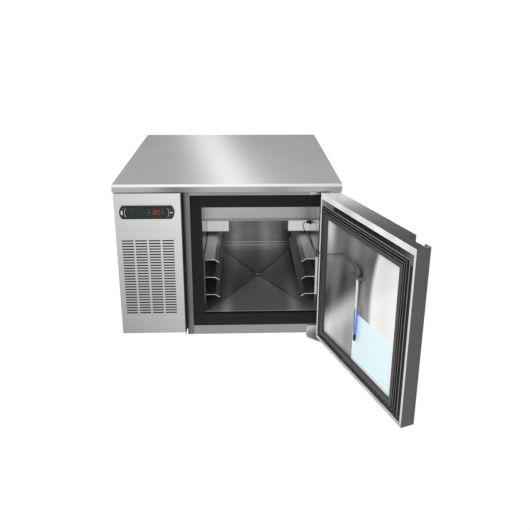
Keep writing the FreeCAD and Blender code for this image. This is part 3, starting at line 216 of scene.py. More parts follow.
def brushed(name, tone, rough, grain="X", depth=0.00002, smudge=0.05, shade=None, scale=900,
            tint=(1.0, 0.998, 0.992), metal=1.0, **constants):
    """Brushed stainless sheet: fine grooves along one axis, cloudy smears, painted light and shade.

    shade is a function of the three axes that gives a factor on the tone as painted light and
    shade, and metal may be one that gives how metallic the sheet is.
    """
    steel = Finish(name, (min(tone, 1.0),) * 3, rough, **constants)
    steel.set("Metallic", metal(*steel.axes()) if callable(metal) else metal)
    hair = steel.noise(scale, 2.0, 0.6, GRAIN[grain])
    streak = steel.noise(scale * 0.12, 2.0, 0.5, GRAIN[grain])
    cloud = steel.noise(7.0, 4.0)
    value = tone * (0.94 + 0.12 * streak + (cloud - 0.5) * (2 * smudge))
    if shade:
        value = value * shade(*steel.axes())
    steel.set("Base Color", steel.grey(value, tint))
    steel.set("Roughness", rough + (hair - 0.5) * 0.10 + (cloud - 0.5) * 0.10)
    return steel.emboss(hair, depth, 0.35)


def moulded(name, colour, rough, speckle=1400, depth=0.00006, **constants):
    """Moulded plastic or rubber: fine stipple and a faint unevenness of colour."""
    shell = Finish(name, colour, rough, 0.0, **constants)
    stipple = shell.noise(speckle, 2.0)
    cloud = shell.noise(12.0, 4.0)
    dim = [c * 0.85 for c in colour[:3]] + [1.0]
    light = [min(1.0, c * 1.18 + 0.002) for c in colour[:3]] + [1.0]
    shell.set("Base Color", shell.mix(cloud, dim, light))
    shell.set("Roughness", rough + (stipple - 0.5) * 0.12)
    return shell.emboss(stipple, depth, 0.4)


# ------------------------------------------------------------------ mesh helpers
def grid_faces(rows, columns, wrap_rows=False, wrap_columns=False):
    """Quads between neighbours of a rows by columns grid of points."""
    i, j = np.meshgrid(
        np.arange(rows if wrap_rows else rows - 1),
        np.arange(columns if wrap_columns else columns - 1), indexing="ij")
    i, j = i.ravel(), j.ravel()
    ii, jj = (i + 1) % rows, (j + 1) % columns
    return np.stack([i * columns + j, ii * columns + j, ii * columns + jj, i * columns + jj], 1)


def end_faces(rows, columns):
    """The first and the last row of a grid as one face each, which close its two ends."""
    return [list(range(columns)), list(range((rows - 1) * columns, rows * columns))[::-1]]


def new_piece(name, points, faces, body, look, smooth=True, extra=()):
    """Mesh object from arrays that rides on a body. extra holds faces of any length."""
    mesh = bpy.data.meshes.new(name)
    polygons = [tuple(int(v) for v in face) for face in list(faces) + list(extra)]
    mesh.from_pydata(np.asarray(points, float).tolist(), [], polygons)
    mesh.polygons.foreach_set("use_smooth", [smooth] * len(polygons))
    mesh.validate()
    piece = bpy.data.objects.new(name, mesh)
    bpy.context.collection.objects.link(piece)
    piece.data.materials.append(look.material)
    if body:
        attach(piece, body)
    return piece


def join_parts(parts):
    """One set of points and faces from several (points, faces) pairs."""
    points, faces, start = [], [], 0
    for p, f in parts:
        points.append(p)
        faces.extend([tuple(int(v) + start for v in face) for face in f])
        start += len(p)
    return np.concatenate(points), faces


def lathe(profile, base, axis=(0, 0, 1), around=48):
    """(points, faces): radius r and height h of a profile turned about an axis.

    Point (k, a) is base + h[k] axis + r[k] (cos a u + sin a v).
    """
    profile = np.array(profile, float)
    n = np.array(axis, float) / np.linalg.norm(axis)
    u = np.cross(n, (0.0, 0.0, 1.0) if abs(n[2]) < 0.9 else (1.0, 0.0, 0.0))
    u /= np.linalg.norm(u)
    v = np.cross(n, u)
    a = np.linspace(0, 2 * np.pi, around, endpoint=False)
    r, h = profile[:, 0][:, None, None], profile[:, 1][:, None, None]
    ring = np.cos(a)[None, :, None] * u + np.sin(a)[None, :, None] * v
    points = np.array(base, float) + h * n + r * ring
    faces = grid_faces(len(profile), around, wrap_columns=True)[:, ::-1].tolist()
    return points.reshape(-1, 3), faces + end_faces(len(profile), around)


def swept(path, radius, around=20, squeeze=1.0):
    """(points, faces): tube of varying radius along a path, with closed ends.

    Point (k, a) is path[k] + radius[k] (cos a u + squeeze sin a v), where u is the path's
    tangent t cross Y and v is t cross u.
    """
    path = np.array(path, float)
    radius = np.broadcast_to(radius, len(path)).astype(float)
    t = np.gradient(path, axis=0)
    t /= np.linalg.norm(t, axis=1)[:, None]
    u = np.cross(t, (0.0, 1.0, 0.0))
    u /= np.linalg.norm(u, axis=1)[:, None]
    v = np.cross(t, u)
    a = np.linspace(0, 2 * np.pi, around, endpoint=False)
    points = path[:, None] + radius[:, None, None] * (
        np.cos(a)[None, :, None] * u[:, None] + squeeze * np.sin(a)[None, :, None] * v[:, None])
    faces = grid_faces(len(path), around, wrap_columns=True)[:, ::-1].tolist()
    return points.reshape(-1, 3), faces + end_faces(len(path), around)


def smooth_path(points, steps=14):
    """Catmull-Rom curve through points: a cubic between each two, with their neighbours."""
    p = np.array(points, float)
    p = np.vstack([2 * p[0] - p[1], p, 2 * p[-1] - p[-2]])
    s = np.linspace(0, 1, steps, endpoint=False)[:, None]
    runs = []
    for a, b, c, d in zip(p[:-3], p[1:-2], p[2:-1], p[3:]):
        runs.append(0.5 * (2 * b + (c - a) * s + (2 * a - 5 * b + 4 * c - d) * s ** 2
                           + (3 * b - a - 3 * c + d) * s ** 3))
    return np.vstack(runs + [p[-2:-1]])


def rounded_loop(width, height, radius, steps=8):
    """Rectangle about zero with a quarter circle at each corner, anticlockwise."""
    a = np.linspace(0, np.pi / 2, steps)
    corners = []
    for k, (sx, sy) in enumerate(((1, 1), (-1, 1), (-1, -1), (1, -1))):
        centre = np.array([sx * (width / 2 - radius), sy * (height / 2 - radius)])
        turn = a + k * np.pi / 2
        corners.append(centre + radius * np.stack([np.cos(turn), np.sin(turn)], 1))
    return np.vstack(corners)


def span(node):
    """Lowest and highest corner of a CAD node, as arrays."""
    low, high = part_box(node)
    return np.array(low), np.array(high)


# ------------------------------------------------------------------ the door's own frame
HINGE = np.array([0.3265, -0.3505])
OPEN = math.radians(110)


def door_point(points):
    """Points drawn on the closed door, turned about the hinge to the open rest position."""
    points = np.array(points, float)
    x, y = points[..., 0] - HINGE[0], points[..., 1] - HINGE[1]
    c, s = math.cos(OPEN), math.sin(OPEN)
    return np.stack([HINGE[0] + x * c - y * s, HINGE[1] + x * s + y * c, points[..., 2]], -1)


def closed(x, y):
    """Wires of X and Y as they are on the closed door."""
    c, s = math.cos(OPEN), math.sin(OPEN)
    return (HINGE[0] + (x - HINGE[0]) * c + (y - HINGE[1]) * s,
            HINGE[1] + (y - HINGE[1]) * c - (x - HINGE[0]) * s)


# edges of the closed door, the ring that its gasket covers, and the door's inner face
DOOR_X, DOOR_Z = (-0.1375, 0.3377), (0.0574, 0.5478)
GASKET_X, GASKET_Z = (-0.1175, 0.3195), (0.0765, 0.5135)
GASKET_WIDE = 0.031
INNER_Y = -0.304
# where the gasket's bellows end and its flat strip starts, from its outer edge
STRIP_START = 0.0180
# a face counts as lying on an edge's plane within this distance
NEAR = 0.0006
# the probe's axis on the closed door, and the shelf under its handle
PROBE_X, PROBE_Y, PROBE_SHELF = 0.0947, -0.296, 0.3822
# middle of the chamber's floor, where the drain is
DRAIN_X, DRAIN_Y = 0.101, 0.017
# front ends of the tray runners, and their lowest and highest levels
RUNNER_FRONT, RUNNER_LOW, RUNNER_HIGH = -0.256, 0.162, 0.2925


# the probe's lead: it leaves the wall, hangs, crosses the gasket and rises to the handle
CABLE_ROUTE = [
    (0.2730, -0.0500, 0.3430),
    (0.2610, -0.0560, 0.3450),
    (0.2550, -0.0860, 0.3380),
    (0.2640, -0.1280, 0.3290),
    (0.2710, -0.1760, 0.3230),
    (0.2740, -0.2280, 0.3200),
    (0.2760, -0.2840, 0.3240),
    (0.2720, -0.3320, 0.3400),
    (0.2747, -0.3734, 0.3610),
    (0.2858, -0.4067, 0.3700),
    (0.3002, -0.4418, 0.3840),
    (0.3135, -0.4785, 0.4010),
    (0.3260, -0.5130, 0.4164),
]


# ------------------------------------------------------------------ sizes and colours
class ChillerSizes(bpy.types.PropertyGroup):
    """Sizes that a user may change."""

    nose_radius: bpy.props.FloatProperty(
        name="Worktop nose", description="Radius of the worktop's rounded front edge",
        default=0.011, min=0.004, max=0.012, unit="LENGTH")
    gasket_ridge: bpy.props.FloatProperty(
        name="Gasket ridge", description="Height of the gasket's bellows ridges",
        default=0.0073, min=0.004, max=0.0074, unit="LENGTH")
    cable_diameter: bpy.props.FloatProperty(
        name="Cable", description="Diameter of the probe's cable",
        default=0.0032, min=0.0025, max=0.0034, unit="LENGTH")
    handle_radius: bpy.props.FloatProperty(
        name="Probe handle", description="Radius of the probe's handle at its thickest",
        default=0.009, min=0.006, max=0.0092, unit="LENGTH")


class ChillerColours(bpy.types.PropertyGroup):
    """Colours that a user may change."""

    steel: bpy.props.FloatProperty(
        name="Steel", description="Tone of the brushed steel", default=0.62,
        min=0.2, max=0.9, subtype="FACTOR")
    digits: bpy.props.FloatVectorProperty(
        name="Digits", description="Colour of the lit digits", subtype="COLOR", size=3,
        default=(0.62, 0.030, 0.022), min=0.0, max=1.0)
    sheet: bpy.props.FloatVectorProperty(
        name="Sheet", description="Colour of the instruction sheet", subtype="COLOR", size=3,
        default=(0.80, 0.97, 1.0), min=0.0, max=1.0)


def sizes():
    """The sizes in the sidebar."""
    return bpy.context.scene.chiller_sizes


def colours():
    """The colours in the sidebar."""
    return bpy.context.scene.chiller_colours


# ------------------------------------------------------------------ finishes
def worktop_shade(x, y, z):
    """Painted light: a broad painted sheen from the front edge to the rear; the nose has a painted
    highlight and the lip painted reflection tones.
    """
    slant = x + 0.16 * y
    # painted sheen: a soft band of painted highlight from front to rear, brighter towards the front
    sheen = 0.25 - 0.16 * y + 0.47 * slant.bell(-0.045, 0.090) + 0.09 * slant.bell(-0.01, 0.17)
    top = float(span("worktop_skin")[1][2])
    lip = z < top - 0.0070
    nose = (z < top - 0.0005) * (1.0 - lip)
    # painted highlight along the nose, brightest in its middle, and painted reflection tones on the
    # lip
    nose_highlight = 0.98 - 0.45 * x.size() - 0.25 * x
    lip_reflection = 0.49 - 0.25 * x.bell(-0.15, 0.06) - 0.13 * x.bell(0.15, 0.06)
    return sheen * (1.0 - nose - lip) + nose * nose_highlight + lip * lip_reflection


def panel_shade(x, y, z):
    """Painted light: lighter towards the upper right; the inner walls of the slots painted
    near-black as shade.
    """
    face = 0.37 + 0.70 * (x + 0.34) + 0.72 * (z - 0.08)
    # painted shade: the slots' inner walls are near-black
    slot = (y > span("service_panel")[0][1] + 0.0003) * (x < -0.150) * (x > -0.325)
    return face * (1.0 - slot) + 0.04 * slot


def frame_shade(x, y, z):
    """Chamber's face: painted shade on its left post, darker towards the machine compartment and
    downwards.
    """
    post = x < -0.1190
    # painted shade on the left post
    return 1.0 - post * (0.30 + 0.5 * x.bell(-0.1405, 0.006) + 0.35 * (0.50 - z))


def hood_shade(x, y, z):
    """Evaporator cover, painted light and shade: lighter towards its top left, with a lower edge
    painted darker as shade.
    """
    # painted shade along the lower edge
    lower = (z < 0.4080) * 0.22
    return 0.62 + 1.1 * (z - 0.40) - 0.35 * (x - 0.05) - lower


def lining_shade(x, y, z):
    """Chamber's walls: painted light and shade on the sides, painted reflections on the rear wall.
    """
    rear = y > 0.30
    # painted reflection stripes up the rear wall, a painted highlight along its lower bend, the
    # left wall painted darker and the right lighter as light and shade
    reflection_wave = (x * 47.0 + 0.8).turn() * 0.16 + (x * 103.0).turn() * 0.07
    bend = rear * z.bell(0.1215, 0.0010)
    left = (x < -0.08) * (1.0 - rear)
    right = (x > 0.28) * (1.0 - rear)
    return 0.70 + rear * reflection_wave + 4.4 * bend - left * 0.15 + right * 0.45


def floor_shade(x, y, z):
    """Chamber's floor: painted shade on its side falls and creases, painted reflections in front.
    """
    u, v = (x - DRAIN_X) / 0.135, (y - DRAIN_Y) / 0.231
    # painted shade along the creases and on the side falls, pale painted reflection bands in front,
    # a painted highlight on the front lip
    crease = (u.size() - v.size()).bell(0.0, 0.045) * (z < 0.1145)
    side = u.size() > v.size()
    band = (x.bell(-0.012, 0.018) + x.bell(0.214, 0.018)) * ((0.05 - y) * 4.0).most(0.0)
    lip = y < -0.2790
    return 0.60 - 0.14 * side - 0.30 * crease + 0.50 * band + 1.3 * lip


def runner_shade(x, y, z):
    """Tray runners: painted highlight on the cut ends at the front, painted shade on the lower
    levels.
    """
    cut = y < RUNNER_FRONT + 0.0012
    # painted shade, darker towards the rear and on the lower levels
    back = 0.60 - 0.9 * (y - 0.10).most(0.0)
    return cut + (1.0 - cut) * back * (0.45 + 0.55 * (z > RUNNER_HIGH - 0.016))


def runner_metal(x, y, z):
    """Tray runners: dull cut ends on mirroring steel."""
    return 0.85 - 0.75 * (y < RUNNER_FRONT + 0.0012)


def upright_shade(x, y, z):
    """Rack uprights: painted highlight on the right front flange between the runners, painted shade
    elsewhere.
    """
    lit = (x > 0.1) * (z > RUNNER_LOW) * (z < RUNNER_HIGH + 0.004) * (y < RUNNER_FRONT)
    return 0.12 + 0.88 * lit


def strainer_shade(x, y, z):
    """Drain strainer: pale middle in a dark ring."""
    u, v = x - DRAIN_X, y - DRAIN_Y
    return 0.12 + 0.75 * (u * u + v * v < 0.00012)


def outline_gap(cx, z, x_edges, z_edges):
    """Distance inward from a rectangle's outline in the door's plane."""
    return (cx - x_edges[0]).least(x_edges[1] - cx).least(z - z_edges[0]).least(z_edges[1] - z)


def rim_light_and_shade(cx, z):
    """Round the gasket: a pale border at the door's outline as painted highlight, then a polished
    step painted dark as reflection.
    """
    # painted reflection streaks on the border, its bottom painted darker as shade, and painted
    # highlights on the step near the hinge and the latch at the top
    streak = (cx * 61.0).turn() * 0.08 + (cx * 23.0 + 1.0).turn() * 0.08
    low = z < DOOR_Z[0] + 0.013
    border = (0.96 + streak) * (1.0 - 0.30 * low)
    near_hinge = (cx > 0.262) * 0.16 + cx.bell(0.33, 0.02) * 0.2
    near_latch = cx.bell(-0.126, 0.025) * 0.12
    step = 0.022 + (near_hinge + near_latch) * (z > 0.500) + 0.01 * (cx * 90.0).turn().size()
    rim = (z > DOOR_Z[1] - 0.0185).most(z < DOOR_Z[0] + 0.0110)
    rim = rim.most(cx < DOOR_X[0] + 0.0085).most(cx > DOOR_X[1] - 0.0065)
    return border * rim + step * (1.0 - rim)


def door_shade(x, y, z):
    """Door skin: painted highlight on its inner face's border and on the top edge near the hinge;
    ends and channel painted dark as shade.
    """
    cx, cy = closed(x, y)
    inner = cy > INNER_Y - NEAR
    top = z > DOOR_Z[1] - NEAR
    # painted highlight on the top edge near the hinge, dark elsewhere; the end face and the
    # recessed channel are painted dark as shade
    top_highlight = 0.036 + 0.62 * cx.bell(0.330, 0.10) + 0.22 * cx.bell(0.25, 0.17)
    end = cx < DOOR_X[0] + 0.0008
    channel = (cx < -0.0605) * (cy < -0.3295)
    shade = inner * rim_light_and_shade(cx, z) + (1.0 - inner) * (0.42 - 0.34 * channel)
    shade = top * top_highlight + (1.0 - top) * shade
    return end * 0.105 + (1.0 - end) * shade


def door_metal(x, y, z):
    """The outer face and the ends mirror; the rim's inner face and the top edge are dull."""
    cy = closed(x, y)[1]
    dull = (cy > INNER_Y - NEAR).most(z > DOOR_Z[1] - NEAR)
    return 0.85 - 0.81 * dull


def grip_shade(x, y, z):
    """Pull profile: wall painted dark as shade, with a painted highlight line near its outer edge,
    and a lip painted paler as light.
    """
    cx, cy = closed(x, y)
    # painted highlight line along the wall near its outer edge
    line = (cy < -0.3500) * (cy > -0.3605)
    return 0.105 + 0.15 * line + (0.25 - 0.15 * line) * (cx > DOOR_X[0] + 0.0010)


def liner_shade(x, y, z):
    """Door liner, painted reflections: a dim hinge side with painted reflection stripes, painted
    bright beside the latch and below.

    The painted bright field starts at closed x = 0.040 with a bowed edge. A second painted light
    band runs below the line z = 0.171 + 0.9 (0.288 - x) and fades downwards, with a painted shadow
    above it.
    """
    cx, cy = closed(x, y)
    # painted reflection stripes across the liner
    reflection_ripple = (cx * 95.0 + z * 17.0).turn() * 0.025 + (cx * 41.0 - z * 9.0 + 0.7).turn() * 0.045
    bow = 0.040 - (z - 0.315) * (z - 0.315)
    bright = ((bow - cx) / 0.016 + 0.5).most(0.0).least(1.0)
    above = z - 0.171 - (0.288 - cx) * 0.9
    lit = (0.5 - above / 0.050).most(0.0).least(1.0)
    fade = ((cx - 0.085) * 22.0).most(0.0).least(1.0)
    band = lit * (0.12 + 0.36 * above.bell(-0.040, 0.050)) * fade
    shadow = above.bell(0.050, 0.050) * 0.10
    # painted light: pale strips along the hinge side above and at its foot, and more light towards
    # the latch side
    hinge_side_light = cx.bell(0.278, 0.030) * ((z - 0.345) * 6.0).most(0.0).least(0.60)
    foot = cx.bell(0.270, 0.060) * z.bell(0.110, 0.050) * 0.30
    rise = ((0.085 - cx) * 2.0).most(0.0).least(0.10)
    dim = 0.225 + reflection_ripple - shadow + band + hinge_side_light + foot + rise
    inside = dim * (1.0 - bright) + bright * (0.95 + 0.05 * (cx * 60.0).turn())
    outer = outline_gap(cx, z, GASKET_X, GASKET_Z) < 0.0005
    return outer * rim_light_and_shade(cx, z) * 0.94 + (1.0 - outer) * inside


def make_finishes():
    """All finishes by the names of the record's slots and of NODE_FINISH."""
    steel = colours().steel
    return {
        # each steel part's factor on the steel's tone is painted light and shade: lighter parts
        # where more light falls, darker ones in shade
        "worktop": brushed("worktop_steel", steel * 1.5, 0.32, "X", shade=worktop_shade,
                           smudge=0.02),
        "brushed_stainless": brushed("panel_steel", steel * 1.5, 0.34, "X",
                                     shade=panel_shade, smudge=0.02),
        "side_stainless": brushed("side_steel", steel * 0.9, 0.34, "Y"),
        "frame_stainless": brushed("frame_steel", steel * 0.50, 0.32, "Z",
                                   shade=frame_shade),
        "door_stainless": brushed("door_steel", steel * 1.6, 0.24, "Z", shade=door_shade,
                                  smudge=0.02, metal=door_metal, Specular_IOR_Level=0.05),
        "hood_stainless": brushed("hood_steel", steel, 0.30, "X", shade=hood_shade),
        "liner_stainless": brushed("liner_steel", steel, 0.20, "Z", depth=0.00001,
                                   shade=lining_shade),
        "floor_stainless": brushed("floor_steel", steel, 0.17, "Y", depth=0.00001,
                                   shade=floor_shade, metal=0.55),
        "door_liner": brushed("door_liner_steel", steel * 1.75, 0.15, "Z", depth=0.000008,
                              shade=liner_shade, smudge=0.03, metal=0.06),
        # the baffles glow faintly: painted light, as they are no lamp
        "baffle_stainless": brushed("baffle_steel_painted_glow", steel * 1.55, 0.38, "X", metal=0.0,
                                    Emission_Color=(1, 1, 1, 1), Emission_Strength=0.36),
        "strainer_steel": brushed("strainer_steel", steel, 0.30, "X", metal=0.4,
                                  shade=strainer_shade),
        "upright_stainless": brushed("upright_steel", steel * 1.4, 0.30, "Z", metal=0.3,
                                     shade=upright_shade),
        "runner_steel": brushed("runner_steel", steel * 1.6, 0.36, "Y", shade=runner_shade,
                                metal=runner_metal),
        # painted shade: near-black steel for parts in dark gaps, such as the divider panel
        "gap_black": brushed("gap_steel", 0.035, 0.45, "Z"),
        # painted shade: the condenser coil is near-black as it sits in shade behind the service
        # panel
        "shaded_fins": brushed("shaded_fins", 0.02, 0.6, "Z", metal=0.4),
        "galvanised_sheet": galvanised(),
        "particle_board": board(),
        "insulation_foam": foam(),
        "black_plastic": moulded("black_plastic", (0.018, 0.018, 0.019), 0.42),
        "breaker_black": moulded("breaker_black", (0.007, 0.007, 0.0075), 0.55,
                                 Specular_IOR_Level=0.25),
        "controller_black": moulded("controller_black", (0.010, 0.016, 0.022), 0.34,
                                    Specular_IOR_Level=0.3),
        "display_black": moulded("display_black", (0.006, 0.016, 0.016), 0.20, 300, 0.000004,
                                 Specular_IOR_Level=0.3),
        "key_black": moulded("key_black", (0.016, 0.018, 0.022), 0.38),
        "dark_rubber": moulded("dark_rubber", (0.022, 0.022, 0.023), 0.50),
        "gasket_rubber": gasket_rubber(),
        "zinc_steel": brushed("zinc_steel", 0.60, 0.34, "X", scale=500),
        "nylon_white": moulded("nylon_white", (0.62, 0.62, 0.60), 0.42),
        "nylon_black": moulded("nylon_black", (0.03, 0.03, 0.03), 0.4),
        "grip_aluminium": brushed("grip_aluminium", steel * 1.6, 0.42, "Z", smudge=0.02,
                                  shade=grip_shade),
        "probe_steel": brushed("probe_steel", 0.75, 0.18, "Z", scale=1500),
        "probe_grey": moulded("probe_grey", (0.085, 0.088, 0.092), 0.36),
        "cable_grey": moulded("cable_grey", (0.10, 0.10, 0.102), 0.40),
        "sheet_blue": instruction_sheet(),
        "compressor_black": moulded("compressor_black", (0.012, 0.012, 0.012), 0.35, 700),
        "coil_aluminium": brushed("coil_aluminium", 0.55, 0.42, "Z", scale=600),
        "motor_grey": moulded("motor_grey", (0.20, 0.205, 0.21), 0.48, 600),
        "copper_line": copper(),
        "box_grey": moulded("box_grey", (0.16, 0.165, 0.17), 0.5),
    }


def galvanised():
    """Zinc-coated sheet: angular spangles that differ slightly in tone and gloss."""
    sheet = Finish("galvanised_sheet", (0.42, 0.43, 0.44), 0.45, 0.85)
    cell = sheet.node("TexVoronoi", {"feature": "F1"}, {"Vector": sheet.place(), "Scale": 90.0},
                      out="Color")
    tone = sheet.node("SeparateColor", None, {0: cell})
    sheet.set("Base Color", sheet.grey(0.36 + 0.10 * tone, (1.0, 1.01, 1.03)))
    sheet.set("Roughness", 0.38 + 0.18 * tone)
    return sheet


def board():
    """Pressed wood board: flat chips in two browns."""
    wood = Finish("particle_board", (0.40, 0.30, 0.19), 0.8)
    chip = wood.noise(160.0, 5.0, 0.7)
    wood.set("Base Color", wood.mix(chip, (0.30, 0.21, 0.12, 1), (0.55, 0.43, 0.28, 1)))
    return wood.emboss(chip, 0.0002, 0.6)


def gasket_rubber():
    """Gasket: near-black bellows with painted highlights on the ridge tops and painted shade in the
    valleys, and a paler inner strip.
    """
    rubber = Finish("gasket_rubber", (0.02, 0.02, 0.02), 0.42, Specular_IOR_Level=0.15)
    x, y, z = rubber.axes()
    cx, cy = closed(x, y)
    inward = outline_gap(cx, z, GASKET_X, GASKET_Z)
    strip = inward > STRIP_START + 0.0001
    # painted highlight on the ridge tops and the outer edge, painted shade in the valleys
    crest_highlight = (cy > INNER_Y + sizes().gasket_ridge - 0.00009) * (1.0 - strip)
    crest_highlight = crest_highlight.most(inward < 0.0007)
    valley = (cy < INNER_Y + 0.0034) * (1.0 - strip)
    value = 0.011 + 0.074 * strip + 0.340 * crest_highlight - 0.009 * valley
    rubber.set("Base Color", rubber.grey(value))
    rubber.set("Roughness", 0.36 + 0.14 * rubber.noise(500.0))
    return rubber.emboss(rubber.noise(1500.0), 0.00004, 0.3)


def foam():
    """Rigid foam: pale yellow with fine open cells."""
    core = Finish("insulation_foam", (0.72, 0.66, 0.44), 0.9)
    cell = core.node("TexVoronoi", {"feature": "F1"}, {"Vector": core.place(), "Scale": 700.0})
    core.set("Base Color", core.mix(cell, (0.60, 0.54, 0.34, 1), (0.78, 0.72, 0.52, 1)))
    return core.emboss(cell, 0.0003, 0.6)


def copper():
    """Drawn copper pipe with brown tarnish in patches."""
    pipe = Finish("copper_line", (0.60, 0.25, 0.13), 0.3, 1.0)
    stain = pipe.noise(40.0, 4.0)
    pipe.set("Base Color", pipe.mix(stain, (0.72, 0.34, 0.20, 1), (0.36, 0.16, 0.09, 1)))
    pipe.set("Roughness", 0.24 + 0.25 * stain)
    return pipe


def instruction_sheet():
    """Glossy pale blue sheet with faint darker rows in two columns, and a faint glow of painted
    light.
    """
    tone = colours().sheet
    # the emission is painted light: the sheet is no lamp
    sheet = Finish("instruction_sheet", tone, 0.30, 0.0, Coat_Weight=0.3,
                   Emission_Color=(*tone, 1.0), Emission_Strength=0.13)
    x, y, z = sheet.axes()
    along = (x - 0.28) * 0.342 - (y + 0.36) * 0.94
    rows = ((z * 480.0).turn() > 0.25) * (sheet.noise(220.0, 1.0, 0.4, (1, 1, 0.02)) > 0.47)
    field = (along > 0.226) * (along < 0.404) * (z < 0.246) * (z > 0.124)
    gutter = (along - 0.315).size() < 0.004
    share = rows * field * (1.0 - gutter) * 0.36
    pale = (*tone, 1.0)
    dim = (tone[0] * 0.72, tone[1] * 0.80, tone[2] * 0.92, 1.0)
    sheet.set("Base Color", sheet.mix(share, pale, dim))
    return sheet


FINISHES = {}


def finish(name):
    """A finish by name; all are made at the first call."""
    if not FINISHES:
        FINISHES.update(make_finishes())
    return FINISHES[name]


# which finish a CAD node shows, where it isn't its record slot
NODE_FINISH = {
    "worktop_skin": "worktop",
    "left_side_panel": "side_stainless",
    "right_side_panel": "side_stainless",
    "front_frame": "frame_stainless",
    "door_outer_skin": "door_stainless",
    "evaporator_cover": "hood_stainless",
    "chamber_liner": "liner_stainless",
    "chamber_floor": "floor_stainless",
    "door_liner": "door_liner",
    "air_baffles": "baffle_stainless",
    "rack_uprights": "upright_stainless",
    "probe_holder": "door_liner",
    "divider_panel": "gap_black",
    "condenser_coil": "shaded_fins",
    "drain_strainer": "strainer_steel",
    "breaker_frame": "breaker_black",
}


# ------------------------------------------------------------------ operators
class CHILLER_OT_finishes(bpy.types.Operator):
    """Gives every CAD node its procedural finish"""

    bl_idname = "chiller.finishes"
    bl_label = "Finishes"

    def execute(self, context):
        slots = {s["node"]: s["material_slot"] for s in frame["record"]["subparts"]}
        for node, piece in frame["nodes"].items():
            material = finish(NODE_FINISH.get(node, slots[node])).material
            piece.data.materials.clear()
            piece.data.materials.append(material)
        return {"FINISHED"}


class CHILLER_OT_worktop(bpy.types.Operator):
    """Worktop skin with a rolled nose and softly rounded corners"""

    bl_idname = "chiller.worktop"
    bl_label = "Worktop"

    def execute(self, context):
        """Profile in Y and Z pushed from side to side, its ends closed, bevelled 0.8 mm.

        It runs up the rear with an arc of 3 mm, over the top, round the nose on an arc of the
        nose radius, and down the lip to a 2 mm curl.
        """
        low, high = span("worktop_skin")
        nose, back, curl = sizes().nose_radius, 0.003, 0.002
        a = np.linspace(0, np.pi / 2, 13)
        y0, y1, z0, z1 = low[1], high[1], low[2], high[2]
        rear = [(y1, z0)] + list(zip(y1 - back * (1 - np.cos(a)), z1 - back * (1 - np.sin(a))))
        front = list(zip(y0 + nose * (1 - np.sin(a)), z1 - nose * (1 - np.cos(a))))
        foot = list(zip(y0 + curl * (1 - np.cos(a)), z0 + curl * (1 - np.sin(a))))
        section = np.array(rear + front + foot)
        x = np.array([low[0], high[0]])
        points = np.empty((2, len(section), 3))
        points[..., 0] = x[:, None]
        points[..., 1:] = section
        count = len(section)
        faces = grid_faces(2, count)[:, ::-1]
        ends = [face[::-1] for face in end_faces(2, count)]
        piece = new_piece("worktop_rolled_skin", points.reshape(-1, 3), faces, "cabinet",
                          finish("worktop"), extra=ends)
        bevel = piece.modifiers.new("soft_ends", "BEVEL")
        bevel.width, bevel.segments, bevel.limit_method = 0.0008, 2, "ANGLE"
        bevel.angle_limit = math.radians(40)
        sheet = piece.modifiers.new("sheet", "SOLIDIFY")
        sheet.thickness, sheet.offset = 0.001, -1.0
        piece.modifiers.new("flat_faces", "WEIGHTED_NORMAL").keep_sharp = True
        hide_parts("worktop_skin")
        return {"FINISHED"}


class CHILLER_OT_gasket(bpy.types.Operator):
    """Magnetic door gasket: two rounded bellows ridges and a flat inner strip"""

    bl_idname = "chiller.gasket"
    bl_label = "Door gasket"

    def execute(self, context):
        """Section (across, height) carried round a rectangle with mitred corners.

        Each ridge is height h sin(pi s) ** 0.6 over its width; the strip has 1.2 mm corners.
        A section 4 mm on either side of each mitre keeps the long sides straight.
        """
        ridge, valley, sunk = sizes().gasket_ridge, 0.0016, -0.0008
        pitch, wide, hold = 0.0087, 0.0079, 0.004
        s = np.linspace(0, 1, 13)
        section = [(0.0, sunk), (0.0, 0.0012)]
        for k in range(2):
            section += list(zip(0.0006 + pitch * k + wide * s,
                                valley + (ridge - valley) * np.sin(np.pi * s) ** 0.6))
        a = np.linspace(0, np.pi / 2, 5)
        start, end, high, r = STRIP_START, GASKET_WIDE, 0.0077, 0.0012
        section += [(start, valley)]
        section += list(zip(start + r * (1 - np.cos(a)), high - r * (1 - np.sin(a))))
        section += list(zip(end - r * (1 - np.sin(a)), high - r * (1 - np.cos(a))))
        section += [(end, sunk)]
        section = np.array(section)
        (left, right), (bottom, top) = GASKET_X, GASKET_Z
        corners = np.array([(left, bottom), (right, bottom), (right, top), (left, top)])
        inward = np.array([[1, 1], [-1, 1], [-1, -1], [1, -1]])
        place = corners[:, None] + inward[:, None] * section[:, 0][None, :, None]
        back = np.roll(place, 1, axis=0) - place
        ahead = np.roll(place, -1, axis=0) - place
        back /= np.linalg.norm(back, axis=-1, keepdims=True)
        ahead /= np.linalg.norm(ahead, axis=-1, keepdims=True)
        place = np.stack([place + hold * back, place, place + hold * ahead], 1)
        place = place.reshape(-1, len(section), 2)
        y = np.broadcast_to(INNER_Y + section[:, 1], place.shape[:2])
        points = np.stack([place[..., 0], y, place[..., 1]], -1)
        rows, columns = points.shape[:2]
        faces = grid_faces(rows, columns, wrap_rows=True, wrap_columns=True)[:, ::-1]
        piece = new_piece("bellows_gasket", door_point(points).reshape(-1, 3), faces, "door",
                          finish("gasket_rubber"))
        crease = piece.modifiers.new("crisp_mitres", "EDGE_SPLIT")
        crease.split_angle = math.radians(50)
        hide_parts("door_gasket")
        return {"FINISHED"}


